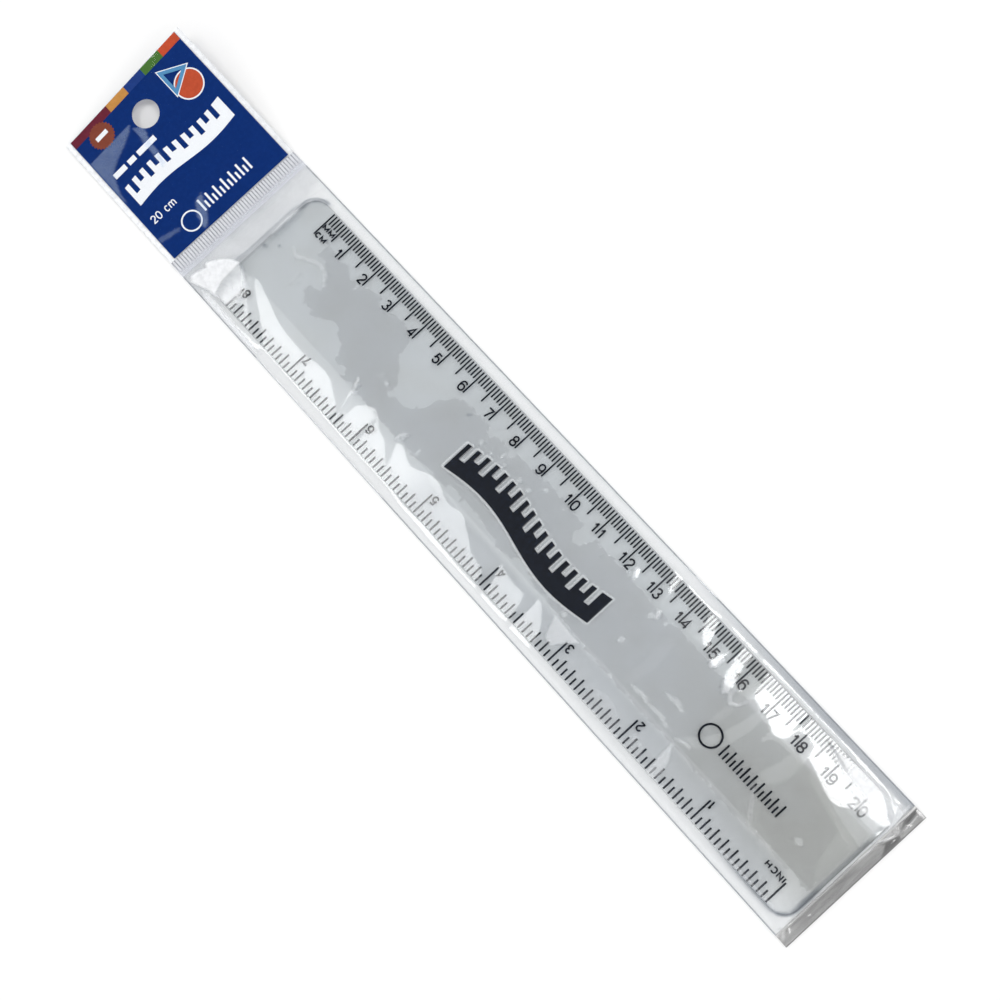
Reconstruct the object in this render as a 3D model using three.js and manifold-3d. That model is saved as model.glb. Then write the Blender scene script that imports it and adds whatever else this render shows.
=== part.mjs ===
// Flexible 20 cm ruler, sealed in its clear header bag and lying face up on a table.
// Millimetres. +X runs from the header to the foot of the bag, +Y towards the centimetre edge, +Z up.
// The origin is on the table, under the middle of the whole pack.
import * as THREE from "three";
import { mergeVertices } from "three/addons/utils/BufferGeometryUtils.js";
import Module from "manifold-3d";

const wasm = await Module();
wasm.setup();

// Driving dimensions of the blade, a flat strip of soft clear plastic with two bevelled long edges
const scaleLength = 200;
const endMargin = 7.6;
const bladeWidth = 38.2;
const landWidth = 20.4;
const landThickness = 1.2;
const edgeThickness = 0.7;
const cornerRadius = 4.8;

// Driving dimensions of the bag, two clear films welded along both sides and closed at both ends
const filmThickness = 0.2;
const sideMargin = 3.25;
const headSpace = 8.6;
const footSpace = 0.8;
const footSealWidth = 3.6;
const headerHeight = 46.9;
const crimpWidth = 5.3;
const crimpPitch = 0.9;
const crimpThickness = 0.45;
const crimpWave = 0.15;

// The header is not flat: its corner on the centimetre side curls up off the table
const headerLift = 6.2;
const printThickness = 0.1;
const printSideInset = 1.6;
const printTopInset = 0.2;
const printFootInset = 0.4;
const hangHoleDiameter = 8;
const hangHoleFromTop = 10.4;

// Printed lines on the blade's underside, read through the clear plastic
const inkThickness = 0.1;
const scaleInset = 0.3;
const hairline = 0.15;
const linePitch = 1;
const lineWidth = 0.4;
const millimetreLine = 3.1;
const halfCentimetreLine = 5.7;
const centimetreLine = 7.6;

// The inch scale reads from the other end. Its zero lies near the foot of the bag, past the last millimetre line.
const imperialPitch = 25.4;
const imperialDivisions = 16;
const imperialZeroPastScale = 1.4;
const imperialRoomPastZero = 2;
const imperialLineWidth = 0.35;
const imperialOddLine = 2.3;
const imperialEvenLine = 3.5;
const imperialWholeLine = 6.6;

// Clearances
const inkClearance = 0.1;
const filmClearance = 0.1;
const layerGap = 0.05;
const filmShoulder = 0.3;
const footShoulder = 0.2;
const flexGap = 0.55;
const foldGap = 0.55;
const cutOverrun = 2;

// The blade bends all along its length, so it and its bag are divided into spans. Each bend line
// lies midway between two millimetre lines, so that no printed line is cut.
const bendShares = [0.1125, 0.2725, 0.4225, 0.5825, 0.7325, 0.8825];

// Printed motifs in the middle of the blade, placed along the centimetre scale
const waveCentreShare = 0.49;
const waveLength = 54;
const waveHeight = 8.6;
const waveSwing = 1.9;
const waveCentreY = -1;
const waveSteps = 72;
const toothSteps = 4;
const shallowNotchShare = 0.35;
const deepNotchShare = 0.55;
const ringCentreShare = 0.825;
const ringCentreY = -1.75;
const ringRadius = 3.1;
const ringInnerRadius = 2.55;
const barFromRing = 1.5;
const barLength = 19.2;
const barHeight = 3.6;
const barLinePitch = 1.2;
const barLineWidth = 0.5;
const barShortLineShare = 0.6;

// Places along the pack, worked out from the header's top edge to the foot of the bag
const bladeLength = scaleLength + 2 * endMargin;
const bagWidth = bladeWidth + 2 * sideMargin;
const bagLength = headerHeight + crimpWidth + headSpace + bladeLength + footSpace + footSealWidth;
const headerTop = -bagLength / 2;
const crimpStart = headerTop + headerHeight;
const crimpEnd = crimpStart + crimpWidth;
const bladeStart = crimpEnd + headSpace;
const bladeEnd = bladeStart + bladeLength;
const footSealStart = bladeEnd + footSpace;
const zeroLine = bladeStart + endMargin;
const lineCount = Math.round(scaleLength / linePitch);

// Heights of the stack: back film, ink, blade, front film
const inkBottom = filmThickness + inkClearance;
const bladeBottom = inkBottom + inkThickness;
const landTop = bladeBottom + landThickness;
const edgeTop = bladeBottom + edgeThickness;

// Colours and finishes
const plastic = (color, opacity, roughness) =>
  new THREE.MeshStandardMaterial({ color, roughness, metalness: 0, transparent: opacity < 1, opacity });
const bladePlastic = plastic(0xb4bbbf, 0.55, 0.2);
const bagFilm = plastic(0xf2f5f7, 0.3, 0.15);
const sealFilm = plastic(0xe8ebee, 0.7, 0.3);
const ink = plastic(0x14181f, 1, 0.6);
const headerInk = plastic(0x17397f, 1, 0.3);

const part = new THREE.Group();

function add(name, geometry, material) {
  const mesh = new THREE.Mesh(geometry, material);
  mesh.name = name;
  part.add(mesh);
}

// A closed geometry as a solid that can be cut, and a cut solid as a geometry again.
function solid(geometry) {
  const bare = geometry.clone();
  bare.deleteAttribute("normal");
  bare.deleteAttribute("uv");
  const merged = mergeVertices(bare);
  return new wasm.Manifold(
    new wasm.Mesh({
      numProp: 3,
      vertProperties: merged.attributes.position.array,
      triVerts: new Uint32Array(merged.index.array),
    }),
  );
}

function geometryOf(cut) {
  const mesh = cut.getMesh();
  return new THREE.BufferGeometry()
    .setAttribute("position", new THREE.BufferAttribute(mesh.vertProperties, 3))
    .setIndex(new THREE.BufferAttribute(mesh.triVerts, 1));
}

// A section drawn in Y and Z, run along X.
const sectionToWorld = new THREE.Matrix4().makeBasis(
  new THREE.Vector3(0, 1, 0),
  new THREE.Vector3(0, 0, 1),
  new THREE.Vector3(1, 0, 0),
);

function runAlongX(section, from, to) {
  return new THREE.ExtrudeGeometry(section, { depth: to - from, bevelEnabled: false })
    .applyMatrix4(sectionToWorld)
    .translate(from, 0, 0);
}

// An outline drawn in X and Y, raised from one height to another.
function raise(outline, bottom, top) {
  return new THREE.ExtrudeGeometry(outline, { depth: top - bottom, bevelEnabled: false }).translate(0, 0, bottom);
}

function polygon(points) {
  return new THREE.Shape(points.map(([x, y]) => new THREE.Vector2(x, y)));
}

// A closed sheet over a grid of places. Its underside is at underside(x, y).
function sheet(xs, ys, underside, thickness) {
  const layer = (rise) => xs.flatMap((x) => ys.map((y) => [x, y, underside(x, y) + rise]));
  const positions = [...layer(0), ...layer(thickness)].flat();
  const rows = ys.length;
  const upper = xs.length * rows;
  const index = [];
  const quad = (a, b, c, d) => index.push(a, b, c, a, c, d);
  for (let i = 0; i + 1 < xs.length; i++) {
    const near = i * rows;
    const far = near + rows;
    for (let j = 0; j + 1 < rows; j++) {
      quad(upper + near + j, upper + far + j, upper + far + j + 1, upper + near + j + 1);
      quad(near + j, near + j + 1, far + j + 1, far + j);
    }
    quad(near, far, upper + far, upper + near);
    quad(far + rows - 1, near + rows - 1, upper + near + rows - 1, upper + far + rows - 1);
  }
  const last = upper - rows;
  for (let j = 0; j + 1 < rows; j++) {
    quad(j + 1, j, upper + j, upper + j + 1);
    quad(last + j, last + j + 1, upper + last + j + 1, upper + last + j);
  }
  return new THREE.BufferGeometry()
    .setAttribute("position", new THREE.Float32BufferAttribute(positions, 3))
    .setIndex(index);
}

function evenly(from, to, steps) {
  return Array.from({ length: steps + 1 }, (_, i) => from + ((to - from) * i) / steps);
}

// Spans of the blade and bag, each from one bend line to the next.
const bends = bendShares.map((share) => zeroLine + (Math.floor(share * lineCount) + 1 / 2) * linePitch);
const spans = [bladeStart, ...bends].map((start, i) => {
  const first = i === 0;
  const final = i === bends.length;
  return {
    number: i + 1,
    first,
    final,
    from: first ? bladeStart : start + flexGap / 2,
    to: final ? bladeEnd : bends[i] - flexGap / 2,
  };
});

// Blade
const halfBlade = bladeWidth / 2;
const halfLand = landWidth / 2;
const bladeSection = polygon([
  [-halfBlade, bladeBottom],
  [halfBlade, bladeBottom],
  [halfBlade, edgeTop],
  [halfLand, landTop],
  [-halfLand, landTop],
  [-halfBlade, edgeTop],
]);

function roundedOutline(from, to, halfWidth, radius) {
  return new THREE.Shape()
    .moveTo(from + radius, -halfWidth)
    .lineTo(to - radius, -halfWidth)
    .absarc(to - radius, radius - halfWidth, radius, -Math.PI / 2, 0)
    .lineTo(to, halfWidth - radius)
    .absarc(to - radius, halfWidth - radius, radius, 0, Math.PI / 2)
    .lineTo(from + radius, halfWidth)
    .absarc(from + radius, halfWidth - radius, radius, Math.PI / 2, Math.PI)
    .lineTo(from, radius - halfWidth)
    .absarc(from + radius, radius - halfWidth, radius, Math.PI, (3 * Math.PI) / 2);
}

const bladeOutline = solid(
  raise(roundedOutline(bladeStart, bladeEnd, halfBlade, cornerRadius), bladeBottom - cutOverrun, landTop + cutOverrun),
);

for (const span of spans) {
  const strip = runAlongX(bladeSection, span.from, span.to);
  const cornered = span.first || span.final;
  const shape = cornered ? geometryOf(solid(strip).intersect(bladeOutline)) : strip;
  add(`blade_span_${span.number}`, shape, bladePlastic);
}

// Rows of printed lines. A hairline along the blade's edge joins each row's outer ends.
function lineRow(lines, base, inward, span) {
  const held = lines.filter(({ at, width }) => at - width / 2 >= span.from && at + width / 2 <= span.to);
  if (!held.length) return null;
  const first = held[0];
  const last = held[held.length - 1];
  const spine = base + inward * hairline;
  const points = [
    [first.at - first.width / 2, base],
    [last.at + last.width / 2, base],
  ];
  for (const { at, length, width } of [...held].reverse()) {
    const tip = base + inward * length;
    points.push([at + width / 2, spine], [at + width / 2, tip], [at - width / 2, tip], [at - width / 2, spine]);
  }
  return polygon(points.filter(([x, y], i) => !i || x !== points[i - 1][0] || y !== points[i - 1][1]));
}

const centimetreLength = (i) => (i % 10 === 0 ? centimetreLine : i % 5 === 0 ? halfCentimetreLine : millimetreLine);
const centimetreLines = Array.from({ length: lineCount + 1 }, (_, i) => ({
  at: zeroLine + i * linePitch,
  length: centimetreLength(i),
  width: lineWidth,
}));

const imperialZero = zeroLine + scaleLength + imperialZeroPastScale;
const imperialStep = imperialPitch / imperialDivisions;
const imperialCount = Math.floor((imperialZero - zeroLine + imperialRoomPastZero) / imperialStep);
const imperialLength = (i) =>
  i % imperialDivisions === 0 ? imperialWholeLine : i % 2 === 0 ? imperialEvenLine : imperialOddLine;
const imperialLines = Array.from({ length: imperialCount + 1 }, (_, i) => ({
  at: imperialZero - i * imperialStep,
  length: imperialLength(i),
  width: imperialLineWidth,
})).reverse();

const scaleBase = halfBlade - scaleInset;
for (const span of spans) {
  const rows = [
    ["cm_scale_span_", lineRow(centimetreLines, scaleBase, -1, span)],
    ["inch_scale_span_", lineRow(imperialLines, -scaleBase, 1, span)],
  ];
  for (const [name, row] of rows) {
    if (row) add(name + span.number, raise(row, inkBottom, bladeBottom), ink);
  }
}

// Wavy ruler pictogram in the middle of the blade: a dark band with clear notches along its upper edge.
const waveFrom = zeroLine + waveCentreShare * scaleLength - waveLength / 2;
const waveStep = waveLength / waveSteps;

function waveAt(x) {
  return waveCentreY + waveSwing * Math.sin((2 * Math.PI * (x - waveFrom)) / waveLength);
}

function notchDepth(i) {
  const tooth = Math.floor(i / toothSteps);
  const insideNotch = i % toothSteps >= toothSteps / 2;
  return insideNotch ? waveHeight * (tooth % 2 ? shallowNotchShare : deepNotchShare) : 0;
}

function waveBand(span) {
  const lower = [];
  const upper = [];
  for (let i = 0; i < waveSteps; i++) {
    const left = waveFrom + i * waveStep;
    const right = left + waveStep;
    if (left < span.from || right > span.to) continue;
    const top = waveHeight / 2 - notchDepth(i);
    lower.push([left, waveAt(left) - waveHeight / 2], [right, waveAt(right) - waveHeight / 2]);
    upper.push([left, waveAt(left) + top], [right, waveAt(right) + top]);
  }
  if (!lower.length) return null;
  const points = [...lower, ...upper.reverse()];
  return polygon(points.filter(([x, y], i) => !i || x !== points[i - 1][0] || y !== points[i - 1][1]));
}

for (const span of spans) {
  const band = waveBand(span);
  if (band) add(`wave_motif_span_${span.number}`, raise(band, inkBottom, bladeBottom), ink);
}

// Small ring with a short row of lines beside it
const ringX = zeroLine + ringCentreShare * scaleLength;
const ringShape = new THREE.Shape().absarc(ringX, ringCentreY, ringRadius, 0, 2 * Math.PI);
ringShape.holes.push(new THREE.Path().absarc(ringX, ringCentreY, ringInnerRadius, 0, 2 * Math.PI));
add("ring_motif", raise(ringShape, inkBottom, bladeBottom), ink);

const barCount = Math.round(barLength / barLinePitch);
const barLines = Array.from({ length: barCount + 1 }, (_, i) => ({
  at: ringX + ringRadius + barFromRing + i * barLinePitch,
  length: i % 2 ? barHeight * barShortLineShare : barHeight,
  width: barLineWidth,
}));
for (const span of spans) {
  const row = lineRow(barLines, ringCentreY - barHeight / 2, 1, span);
  if (row) add(`bar_motif_span_${span.number}`, raise(row, inkBottom, bladeBottom), ink);
}

// Bag films round the blade. The front film follows the blade's bevels and comes down on the back film.
const halfBag = bagWidth / 2;
const shoulder = halfBlade + filmShoulder;
const bagYs = [-halfBag, -shoulder, -halfLand, halfLand, shoulder, halfBag];

function frontOverBlade(y) {
  const off = Math.abs(y);
  if (off >= halfBag) return filmThickness;
  return (off <= halfLand ? landTop : edgeTop) + filmClearance;
}

for (const span of spans) {
  const filmFrom = span.first ? crimpEnd + foldGap : span.from;
  const filmTo = span.final ? footSealStart : span.to;
  const closed = (x) => (span.first && x === filmFrom) || (span.final && x === filmTo);
  const xs = [filmFrom, filmTo];
  if (span.first) xs.splice(1, 0, bladeStart - filmShoulder);
  if (span.final) xs.splice(-1, 0, bladeEnd + footShoulder);
  const front = sheet(xs, bagYs, (x, y) => (closed(x) ? filmThickness : frontOverBlade(y)), filmThickness);
  const back = sheet([filmFrom, filmTo], [-halfBag, halfBag], () => 0, filmThickness);
  add(`bag_front_span_${span.number}`, front, bagFilm);
  add(`bag_back_span_${span.number}`, back, bagFilm);
}

// Flat weld across the foot of the bag, both films in one
add("foot_seal", sheet([footSealStart, footSealStart + footSealWidth], [-halfBag, halfBag], () => 0, 2 * filmThickness), sealFilm);

// Crimped weld between the pouch and the header, with ridges that run along the pack
const ridgeCount = Math.round(bagWidth / crimpPitch);
const ridgeYs = evenly(-halfBag, halfBag, 2 * ridgeCount);
const ridgeWave = (i) => (i % 2 ? crimpWave : 0);
const crimpSection = polygon([
  ...ridgeYs.map((y, i) => [y, ridgeWave(i)]),
  ...ridgeYs.map((y, i) => [y, ridgeWave(i) + crimpThickness]).reverse(),
]);
add("crimp_seal", runAlongX(crimpSection, crimpStart, crimpEnd), sealFilm);

// Header: back film, printed panel and front film, punched through with a round hang hole
function liftAt(x, y) {
  const alongShare = (crimpStart - x) / headerHeight;
  const acrossShare = (y + halfBag) / bagWidth;
  return headerLift * alongShare * acrossShare;
}

const hangHoleRadius = hangHoleDiameter / 2;
const hangHoleX = headerTop + hangHoleFromTop;
const hangHole = solid(
  raise(
    new THREE.Shape().absarc(hangHoleX, 0, hangHoleRadius, 0, 2 * Math.PI),
    -cutOverrun,
    headerLift + cutOverrun,
  ),
);
const headerSteps = 6;

function headerLayer(xFrom, xTo, halfWidth, bottom, thickness) {
  const xs = evenly(xFrom, xTo, headerSteps);
  const ys = evenly(-halfWidth, halfWidth, headerSteps);
  const layer = sheet(xs, ys, (x, y) => liftAt(x, y) + bottom, thickness);
  return geometryOf(solid(layer).subtract(hangHole));
}

const printBottom = filmThickness + layerGap;
const headerFrontBottom = printBottom + printThickness + layerGap;
add("header_back_film", headerLayer(headerTop, crimpStart, halfBag, 0, filmThickness), bagFilm);
add(
  "header_print",
  headerLayer(headerTop + printTopInset, crimpStart - printFootInset, halfBag - printSideInset, printBottom, printThickness),
  headerInk,
);
add("header_front_film", headerLayer(headerTop, crimpStart, halfBag, headerFrontBottom, filmThickness), bagFilm);

export default part;
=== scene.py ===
# %% [markdown]
# # A flexible ruler in its header bag
#
# The object is a soft clear plastic ruler, 20 cm and 8 inches long, sealed in a clear film bag. A blue
# printed header with a hang hole sits at one end, past a crimped weld. Nearly everything here is
# see-through, so the looks come from three things: how much light each layer takes away, what its gloss
# reflects, and how the film wrinkles.
#
# The CAD model is the frame: its places and sizes are read from it, and every new piece is built around it.

import math
from contextlib import contextmanager

import bpy
import numpy as np
from mathutils import Matrix, Vector, noise


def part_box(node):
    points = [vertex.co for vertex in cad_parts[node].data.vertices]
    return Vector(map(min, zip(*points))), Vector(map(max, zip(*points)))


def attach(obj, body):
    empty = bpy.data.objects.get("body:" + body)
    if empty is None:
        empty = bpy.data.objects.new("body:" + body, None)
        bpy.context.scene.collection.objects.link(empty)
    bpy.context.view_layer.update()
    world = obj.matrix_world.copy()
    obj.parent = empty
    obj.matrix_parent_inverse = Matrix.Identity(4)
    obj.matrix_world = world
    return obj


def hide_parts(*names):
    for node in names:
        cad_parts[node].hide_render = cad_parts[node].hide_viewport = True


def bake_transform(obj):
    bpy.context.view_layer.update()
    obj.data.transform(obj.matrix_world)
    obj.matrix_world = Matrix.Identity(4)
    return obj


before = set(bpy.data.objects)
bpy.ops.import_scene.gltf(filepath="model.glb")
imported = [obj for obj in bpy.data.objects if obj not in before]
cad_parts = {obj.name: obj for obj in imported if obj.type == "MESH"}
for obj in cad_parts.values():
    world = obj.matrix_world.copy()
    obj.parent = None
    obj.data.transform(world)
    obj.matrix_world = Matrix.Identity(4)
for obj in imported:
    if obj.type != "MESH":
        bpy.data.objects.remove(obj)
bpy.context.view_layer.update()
MM = 0.001
print("CAD nodes:", len(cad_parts))

# %% [markdown]
# ## The camera
#
# The camera looks down on the pack from about 32 cm. Its place and turn come from fitting a camera to the
# ruler's own printed lines, so the pack lies in the picture as it should. A camera's matrix holds its
# right, up and backward directions as columns.

# %% Camera
CAMERA_PLACE = (0.07996, -0.0041, 0.32229)
CAMERA_RIGHT = Vector((0.66542, 0.73594, -0.12493))
CAMERA_DOWN = Vector((0.72021, -0.67695, -0.15177))
CAMERA_FORWARD = Vector((-0.19627, 0.01102, -0.98049))
CAMERA_LENS = 46.8

scene = bpy.context.scene
scene.view_settings.view_transform = "Standard"
camera_data = bpy.data.cameras.new("camera")
camera_data.sensor_width = 36
camera_data.lens = CAMERA_LENS
camera_data.clip_start = 0.01
camera = bpy.data.objects.new("camera", camera_data)
scene.collection.objects.link(camera)
camera.matrix_world = Matrix((CAMERA_RIGHT, -CAMERA_DOWN, -CAMERA_FORWARD)).transposed().to_4x4()
camera.location = CAMERA_PLACE
scene.camera = camera

# %% [markdown]
# ## Where the lamps hang
#
# Film is a mirror wherever its slope is right, so the lamps are settled before the film. They are level
# rectangles one metre up. Seen by this camera, a flat face at a place mirrors the point at that height
# which lies MIRROR_GAIN times as far from the camera's foot, and each degree of slope moves that point by
# twice as much.

# %% Lamps
LAMP_HEIGHT = 1.0
# Name, x from and to, y from and to, brightness
LAMPS = (
    ("lamp_inch_side", -0.43, -0.08, -0.62, -0.14, 4.3),
    ("lamp_head_end", -0.578, -0.43, -0.62, -0.20, 4.3),
    ("lamp_cm_side", 0.0, 0.42, 0.17, 0.60, 7.4),
)
MIRROR_GAIN = 1 + LAMP_HEIGHT / CAMERA_PLACE[2]
MIRROR_SHIFT = -CAMERA_PLACE[1] * LAMP_HEIGHT / CAMERA_PLACE[2]

# %% [markdown]
# ## Places read from the frame
#
# The CAD boxes say where the blade, the bag and the header are. The blade bends at six lines between seven
# spans. Each long piece is cut at the middle of a span, so that each part runs from one span's middle to the
# next.


# %% Places
def box_mm(node):
    """The lowest and highest corner of a CAD node, in millimetres."""
    low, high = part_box(node)
    return np.array(low) / MM, np.array(high) / MM


SPANS = 7
span_boxes = [box_mm(f"blade_span_{n}") for n in range(1, SPANS + 1)]
blade_start, blade_end = span_boxes[0][0][0], span_boxes[-1][1][0]
half_blade = span_boxes[3][1][1]
blade_bottom, land_top = span_boxes[3][0][2], span_boxes[3][1][2]
half_bag = box_mm("bag_back_span_4")[1][1]
crimp_low, crimp_high = box_mm("crimp_seal")
crimp_start, crimp_end = crimp_low[0], crimp_high[0]
weld_low, weld_high = box_mm("foot_seal")
weld_start, bag_end = weld_low[0], weld_high[0]
header_top = box_mm("header_back_film")[0][0]
# Sizes that no box gives: the blade's flat land, edges, corners and scales, and the header's lift
HALF_LAND = 10.2
EDGE_THICKNESS = 0.7
EDGE_TOP = blade_bottom + EDGE_THICKNESS
CORNER_RADIUS = 4.8
ZERO_LINE = blade_start + 7.6
SCALE_LENGTH = 200
HEADER_LIFT = 6.2

middles = [(low[0] + high[0]) / 2 for low, high in span_boxes]
# Parts of a long piece: number, where it starts and ends, and the two spans it runs between
parts = []
for n in range(1, SPANS):
    starts = blade_start if n == 1 else middles[n - 1]
    ends = blade_end if n == SPANS - 1 else middles[n]
    parts.append((n, starts, ends, f"span_{n}", f"span_{n + 1}"))


def bends(piece):
    """Puts the piece's place, turn and scale into its mesh."""
    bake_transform(piece)


def spans_of(stem, n):
    """The CAD nodes that part n stands for. The last part also stands for the last span's node."""
    numbers = [n, SPANS] if n == SPANS - 1 else [n]
    return [f"{stem}_{k}" for k in numbers if f"{stem}_{k}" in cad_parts]


print("span middles:", [round(x, 2) for x in middles])

# %% [markdown]
# ## Small helpers for modelling
#
# An operator acts on all that is selected, so each step first deselects everything and then picks its
# pieces. Edit mode is left again as soon as its operators have run.


# %% Modelling helpers
def pick(*pieces):
    """Selects these pieces alone, or nothing."""
    bpy.ops.object.select_all(action="DESELECT")
    for piece in pieces:
        piece.select_set(True)
    if pieces:
        bpy.context.view_layer.objects.active = pieces[0]


@contextmanager
def edit_mode(select=None):
    """Edit mode for the steps inside. Select is SELECT or DESELECT for all, or else the selection stays."""
    bpy.ops.object.mode_set(mode="EDIT")
    if select:
        bpy.ops.mesh.select_all(action=select)
    yield
    bpy.ops.object.mode_set(mode="OBJECT")


def start_selection(piece, mode):
    """Deselects the whole mesh, ready to select its vertices, edges or faces, whichever mode says."""
    pick(piece)
    bpy.context.tool_settings.mesh_select_mode = mode
    bpy.ops.object.mode_set(mode="EDIT")
    bpy.ops.mesh.select_all(action="DESELECT")
    bpy.ops.object.mode_set(mode="OBJECT")


def settle(piece):
    """Puts the object's own place, turn and scale into its mesh."""
    pick(piece)
    bpy.ops.object.transform_apply(location=True, rotation=True, scale=True)


def named(name):
    """The piece that was just made, under its name."""
    piece = bpy.context.active_object
    piece.name = piece.data.name = name
    return piece


def apply_modifier(piece, kind, **settings):
    pick(piece)
    bpy.ops.object.modifier_add(type=kind)
    modifier = piece.modifiers[-1]
    for key, value in settings.items():
        setattr(modifier, key, value)
    bpy.ops.object.modifier_apply(modifier=modifier.name)


def copy_of(piece, name):
    twin = piece.copy()
    twin.data = piece.data.copy()
    twin.name = twin.data.name = name
    scene.collection.objects.link(twin)
    return twin


def join(pieces, name):
    pick(*pieces)
    if len(pieces) > 1:
        bpy.ops.object.join()
    return named(name)


def smooth(piece, angle):
    """Smooth shading, but for edges sharper than the angle in degrees."""
    pick(piece)
    bpy.ops.object.shade_smooth_by_angle(angle=math.radians(angle))


def paint(piece, material):
    """The piece has this one material."""
    piece.data.materials.clear()
    piece.data.materials.append(material)


# %% Corners and grids
def corners_of(piece):
    """The mesh's corner points in millimetres, one row each."""
    points = np.empty(len(piece.data.vertices) * 3)
    piece.data.vertices.foreach_get("co", points)
    return points.reshape(-1, 3) / MM


def move_corners(piece, points):
    piece.data.vertices.foreach_set("co", (points * MM).ravel())
    piece.data.update()


def grid(name, xs, ys, height=None):
    """A flat grid primitive whose rows and columns are slid to xs and ys, and lifted to height(x, y)."""
    pick()
    bpy.ops.mesh.primitive_grid_add(x_subdivisions=len(xs) - 1, y_subdivisions=len(ys) - 1, size=1)
    piece = named(name)
    points = corners_of(piece) * MM
    column = np.rint((points[:, 0] + 0.5) * (len(xs) - 1)).astype(int)
    row = np.rint((points[:, 1] + 0.5) * (len(ys) - 1)).astype(int)
    x, y = np.asarray(xs)[column], np.asarray(ys)[row]
    move_corners(piece, np.column_stack([x, y, height(x, y) if height else 0 * x]))
    return piece


def give(piece, attribute, values):
    """Stores one number for each corner of the mesh, for a material to read."""
    layer = piece.data.attributes.new(attribute, "FLOAT", "POINT")
    layer.data.foreach_set("value", np.asarray(values, np.float32))


def remember_place(piece):
    """Stores each corner's place at rest in millimetres, so a pattern stays put when the piece bends."""
    layer = piece.data.attributes.new("place", "FLOAT_VECTOR", "POINT")
    layer.data.foreach_set("vector", corners_of(piece).astype(np.float32).ravel())


# %% Cutting and rounding
def bevel_upright_edges(piece, offset, segments):
    """Rounds the four upright edges of a block."""
    start_selection(piece, (False, True, False))
    for edge in piece.data.edges:
        one, two = (piece.data.vertices[i].co for i in edge.vertices)
        edge.select = abs(one.x - two.x) < 1e-7 and abs(one.y - two.y) < 1e-7
    with edit_mode():
        bpy.ops.mesh.bevel(offset=offset * MM, segments=segments, affect="EDGES")


def bisect(piece, x=None, y=None, clear_inner=False, clear_outer=False, fill=False):
    """Cuts the piece at one x or one y."""
    pick(piece)
    with edit_mode("SELECT"):
        bpy.ops.mesh.bisect(
            plane_co=((x or 0) * MM, (y or 0) * MM, 0),
            plane_no=(0, 1, 0) if x is None else (1, 0, 0),
            use_fill=fill,
            clear_inner=clear_inner,
            clear_outer=clear_outer,
            threshold=1e-7,
        )


# %% [markdown]
# ## Material helpers
#
# A clear film or plastic is a Transparent shader, which takes away a little light, with gloss mixed over
# it. The share of gloss rises towards a grazing view, from a few percent face on. The Facing output of
# Layer Weight gives that angle without turning into a mirror on the inner side of a thin layer, as Fresnel
# would.


# %% Material helpers
def grey(level):
    return (level, level, level, 1)


def rgb(red, green, blue):
    """A colour from its everyday 0 to 255 values."""
    shares = [v / 255 for v in (red, green, blue)]
    return tuple(((v + 0.055) / 1.055) ** 2.4 if v > 10 / 255 else v / 12.92 for v in shares) + (1,)


class Nodes:
    """Short words for adding and wiring the nodes of a material, or of the room."""

    def __init__(self, owner, output="ShaderNodeOutputMaterial"):
        owner.use_nodes = True
        self.owner = owner
        self.tree = owner.node_tree
        self.tree.nodes.clear()
        self.output = self.tree.nodes.new(output)

    def add(self, kind, inputs=None, **settings):
        node = self.tree.nodes.new(kind)
        for key, value in settings.items():
            setattr(node, key, value)
        for key, value in (inputs or {}).items():
            self.feed(node.inputs[key], value)
        return node

    def feed(self, socket, value):
        if isinstance(value, bpy.types.NodeSocket):
            self.tree.links.new(value, socket)
        else:
            socket.default_value = value

    def feed_all(self, node, sockets, values):
        for socket, value in zip(sockets, values):
            self.feed(node.inputs[socket], value)

    def math(self, operation, *values):
        node = self.add("ShaderNodeMath", operation=operation)
        self.feed_all(node, range(3), values)
        return node.outputs[0]

    def ramp(self, value, low, high, to_low=0.0, to_high=1.0, smooth=True):
        kind = "SMOOTHSTEP" if smooth else "LINEAR"
        inputs = {"Value": value, "From Min": low, "From Max": high, "To Min": to_low, "To Max": to_high}
        return self.add("ShaderNodeMapRange", inputs, interpolation_type=kind).outputs["Result"]

    def colour(self, share, first, second):
        node = self.add("ShaderNodeMix", data_type="RGBA")
        self.feed_all(node, (0, 6, 7), (share, first, second))
        return node.outputs[2]

    def blend(self, share, first, second):
        node = self.add("ShaderNodeMixShader")
        self.feed_all(node, range(3), (share, first, second))
        return node.outputs[0]

    def attribute(self, name, output="Fac"):
        return self.add("ShaderNodeAttribute", attribute_name=name).outputs[output]

    def noise(self, vector, scale, detail=2.0, distortion=0.0, roughness=0.5):
        inputs = {"Vector": vector, "Scale": scale, "Detail": detail}
        inputs |= {"Distortion": distortion, "Roughness": roughness}
        return self.add("ShaderNodeTexNoise", inputs).outputs["Fac"]

    def bump(self, height, distance):
        return self.add("ShaderNodeBump", {"Height": height, "Distance": distance}).outputs["Normal"]

    def clear(self, tint):
        return self.add("ShaderNodeBsdfTransparent", {"Color": tint}).outputs[0]

    def solid(self, colour, roughness, more=None):
        inputs = {"Base Color": colour, "Roughness": roughness} | (more or {})
        return self.add("ShaderNodeBsdfPrincipled", inputs).outputs[0]

    def finish(self, shader):
        self.tree.links.new(shader, self.output.inputs["Surface"])
        return self.owner

    def finish_glossy(self, body, face_on, roughness, bump=None):
        """The body with gloss over it: the face_on share face on, and all of it at a grazing view."""
        normal = {} if bump is None else {"Normal": bump}
        gloss = self.add("ShaderNodeBsdfAnisotropic", {"Color": grey(1.0), "Roughness": roughness} | normal)
        facing = self.add("ShaderNodeLayerWeight", {"Blend": 0.5} | normal).outputs["Facing"]
        share = self.ramp(self.math("POWER", facing, 5.0), 0.0, 1.0, face_on, 1.0, smooth=False)
        return self.finish(self.blend(share, body, gloss.outputs[0]))


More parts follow.
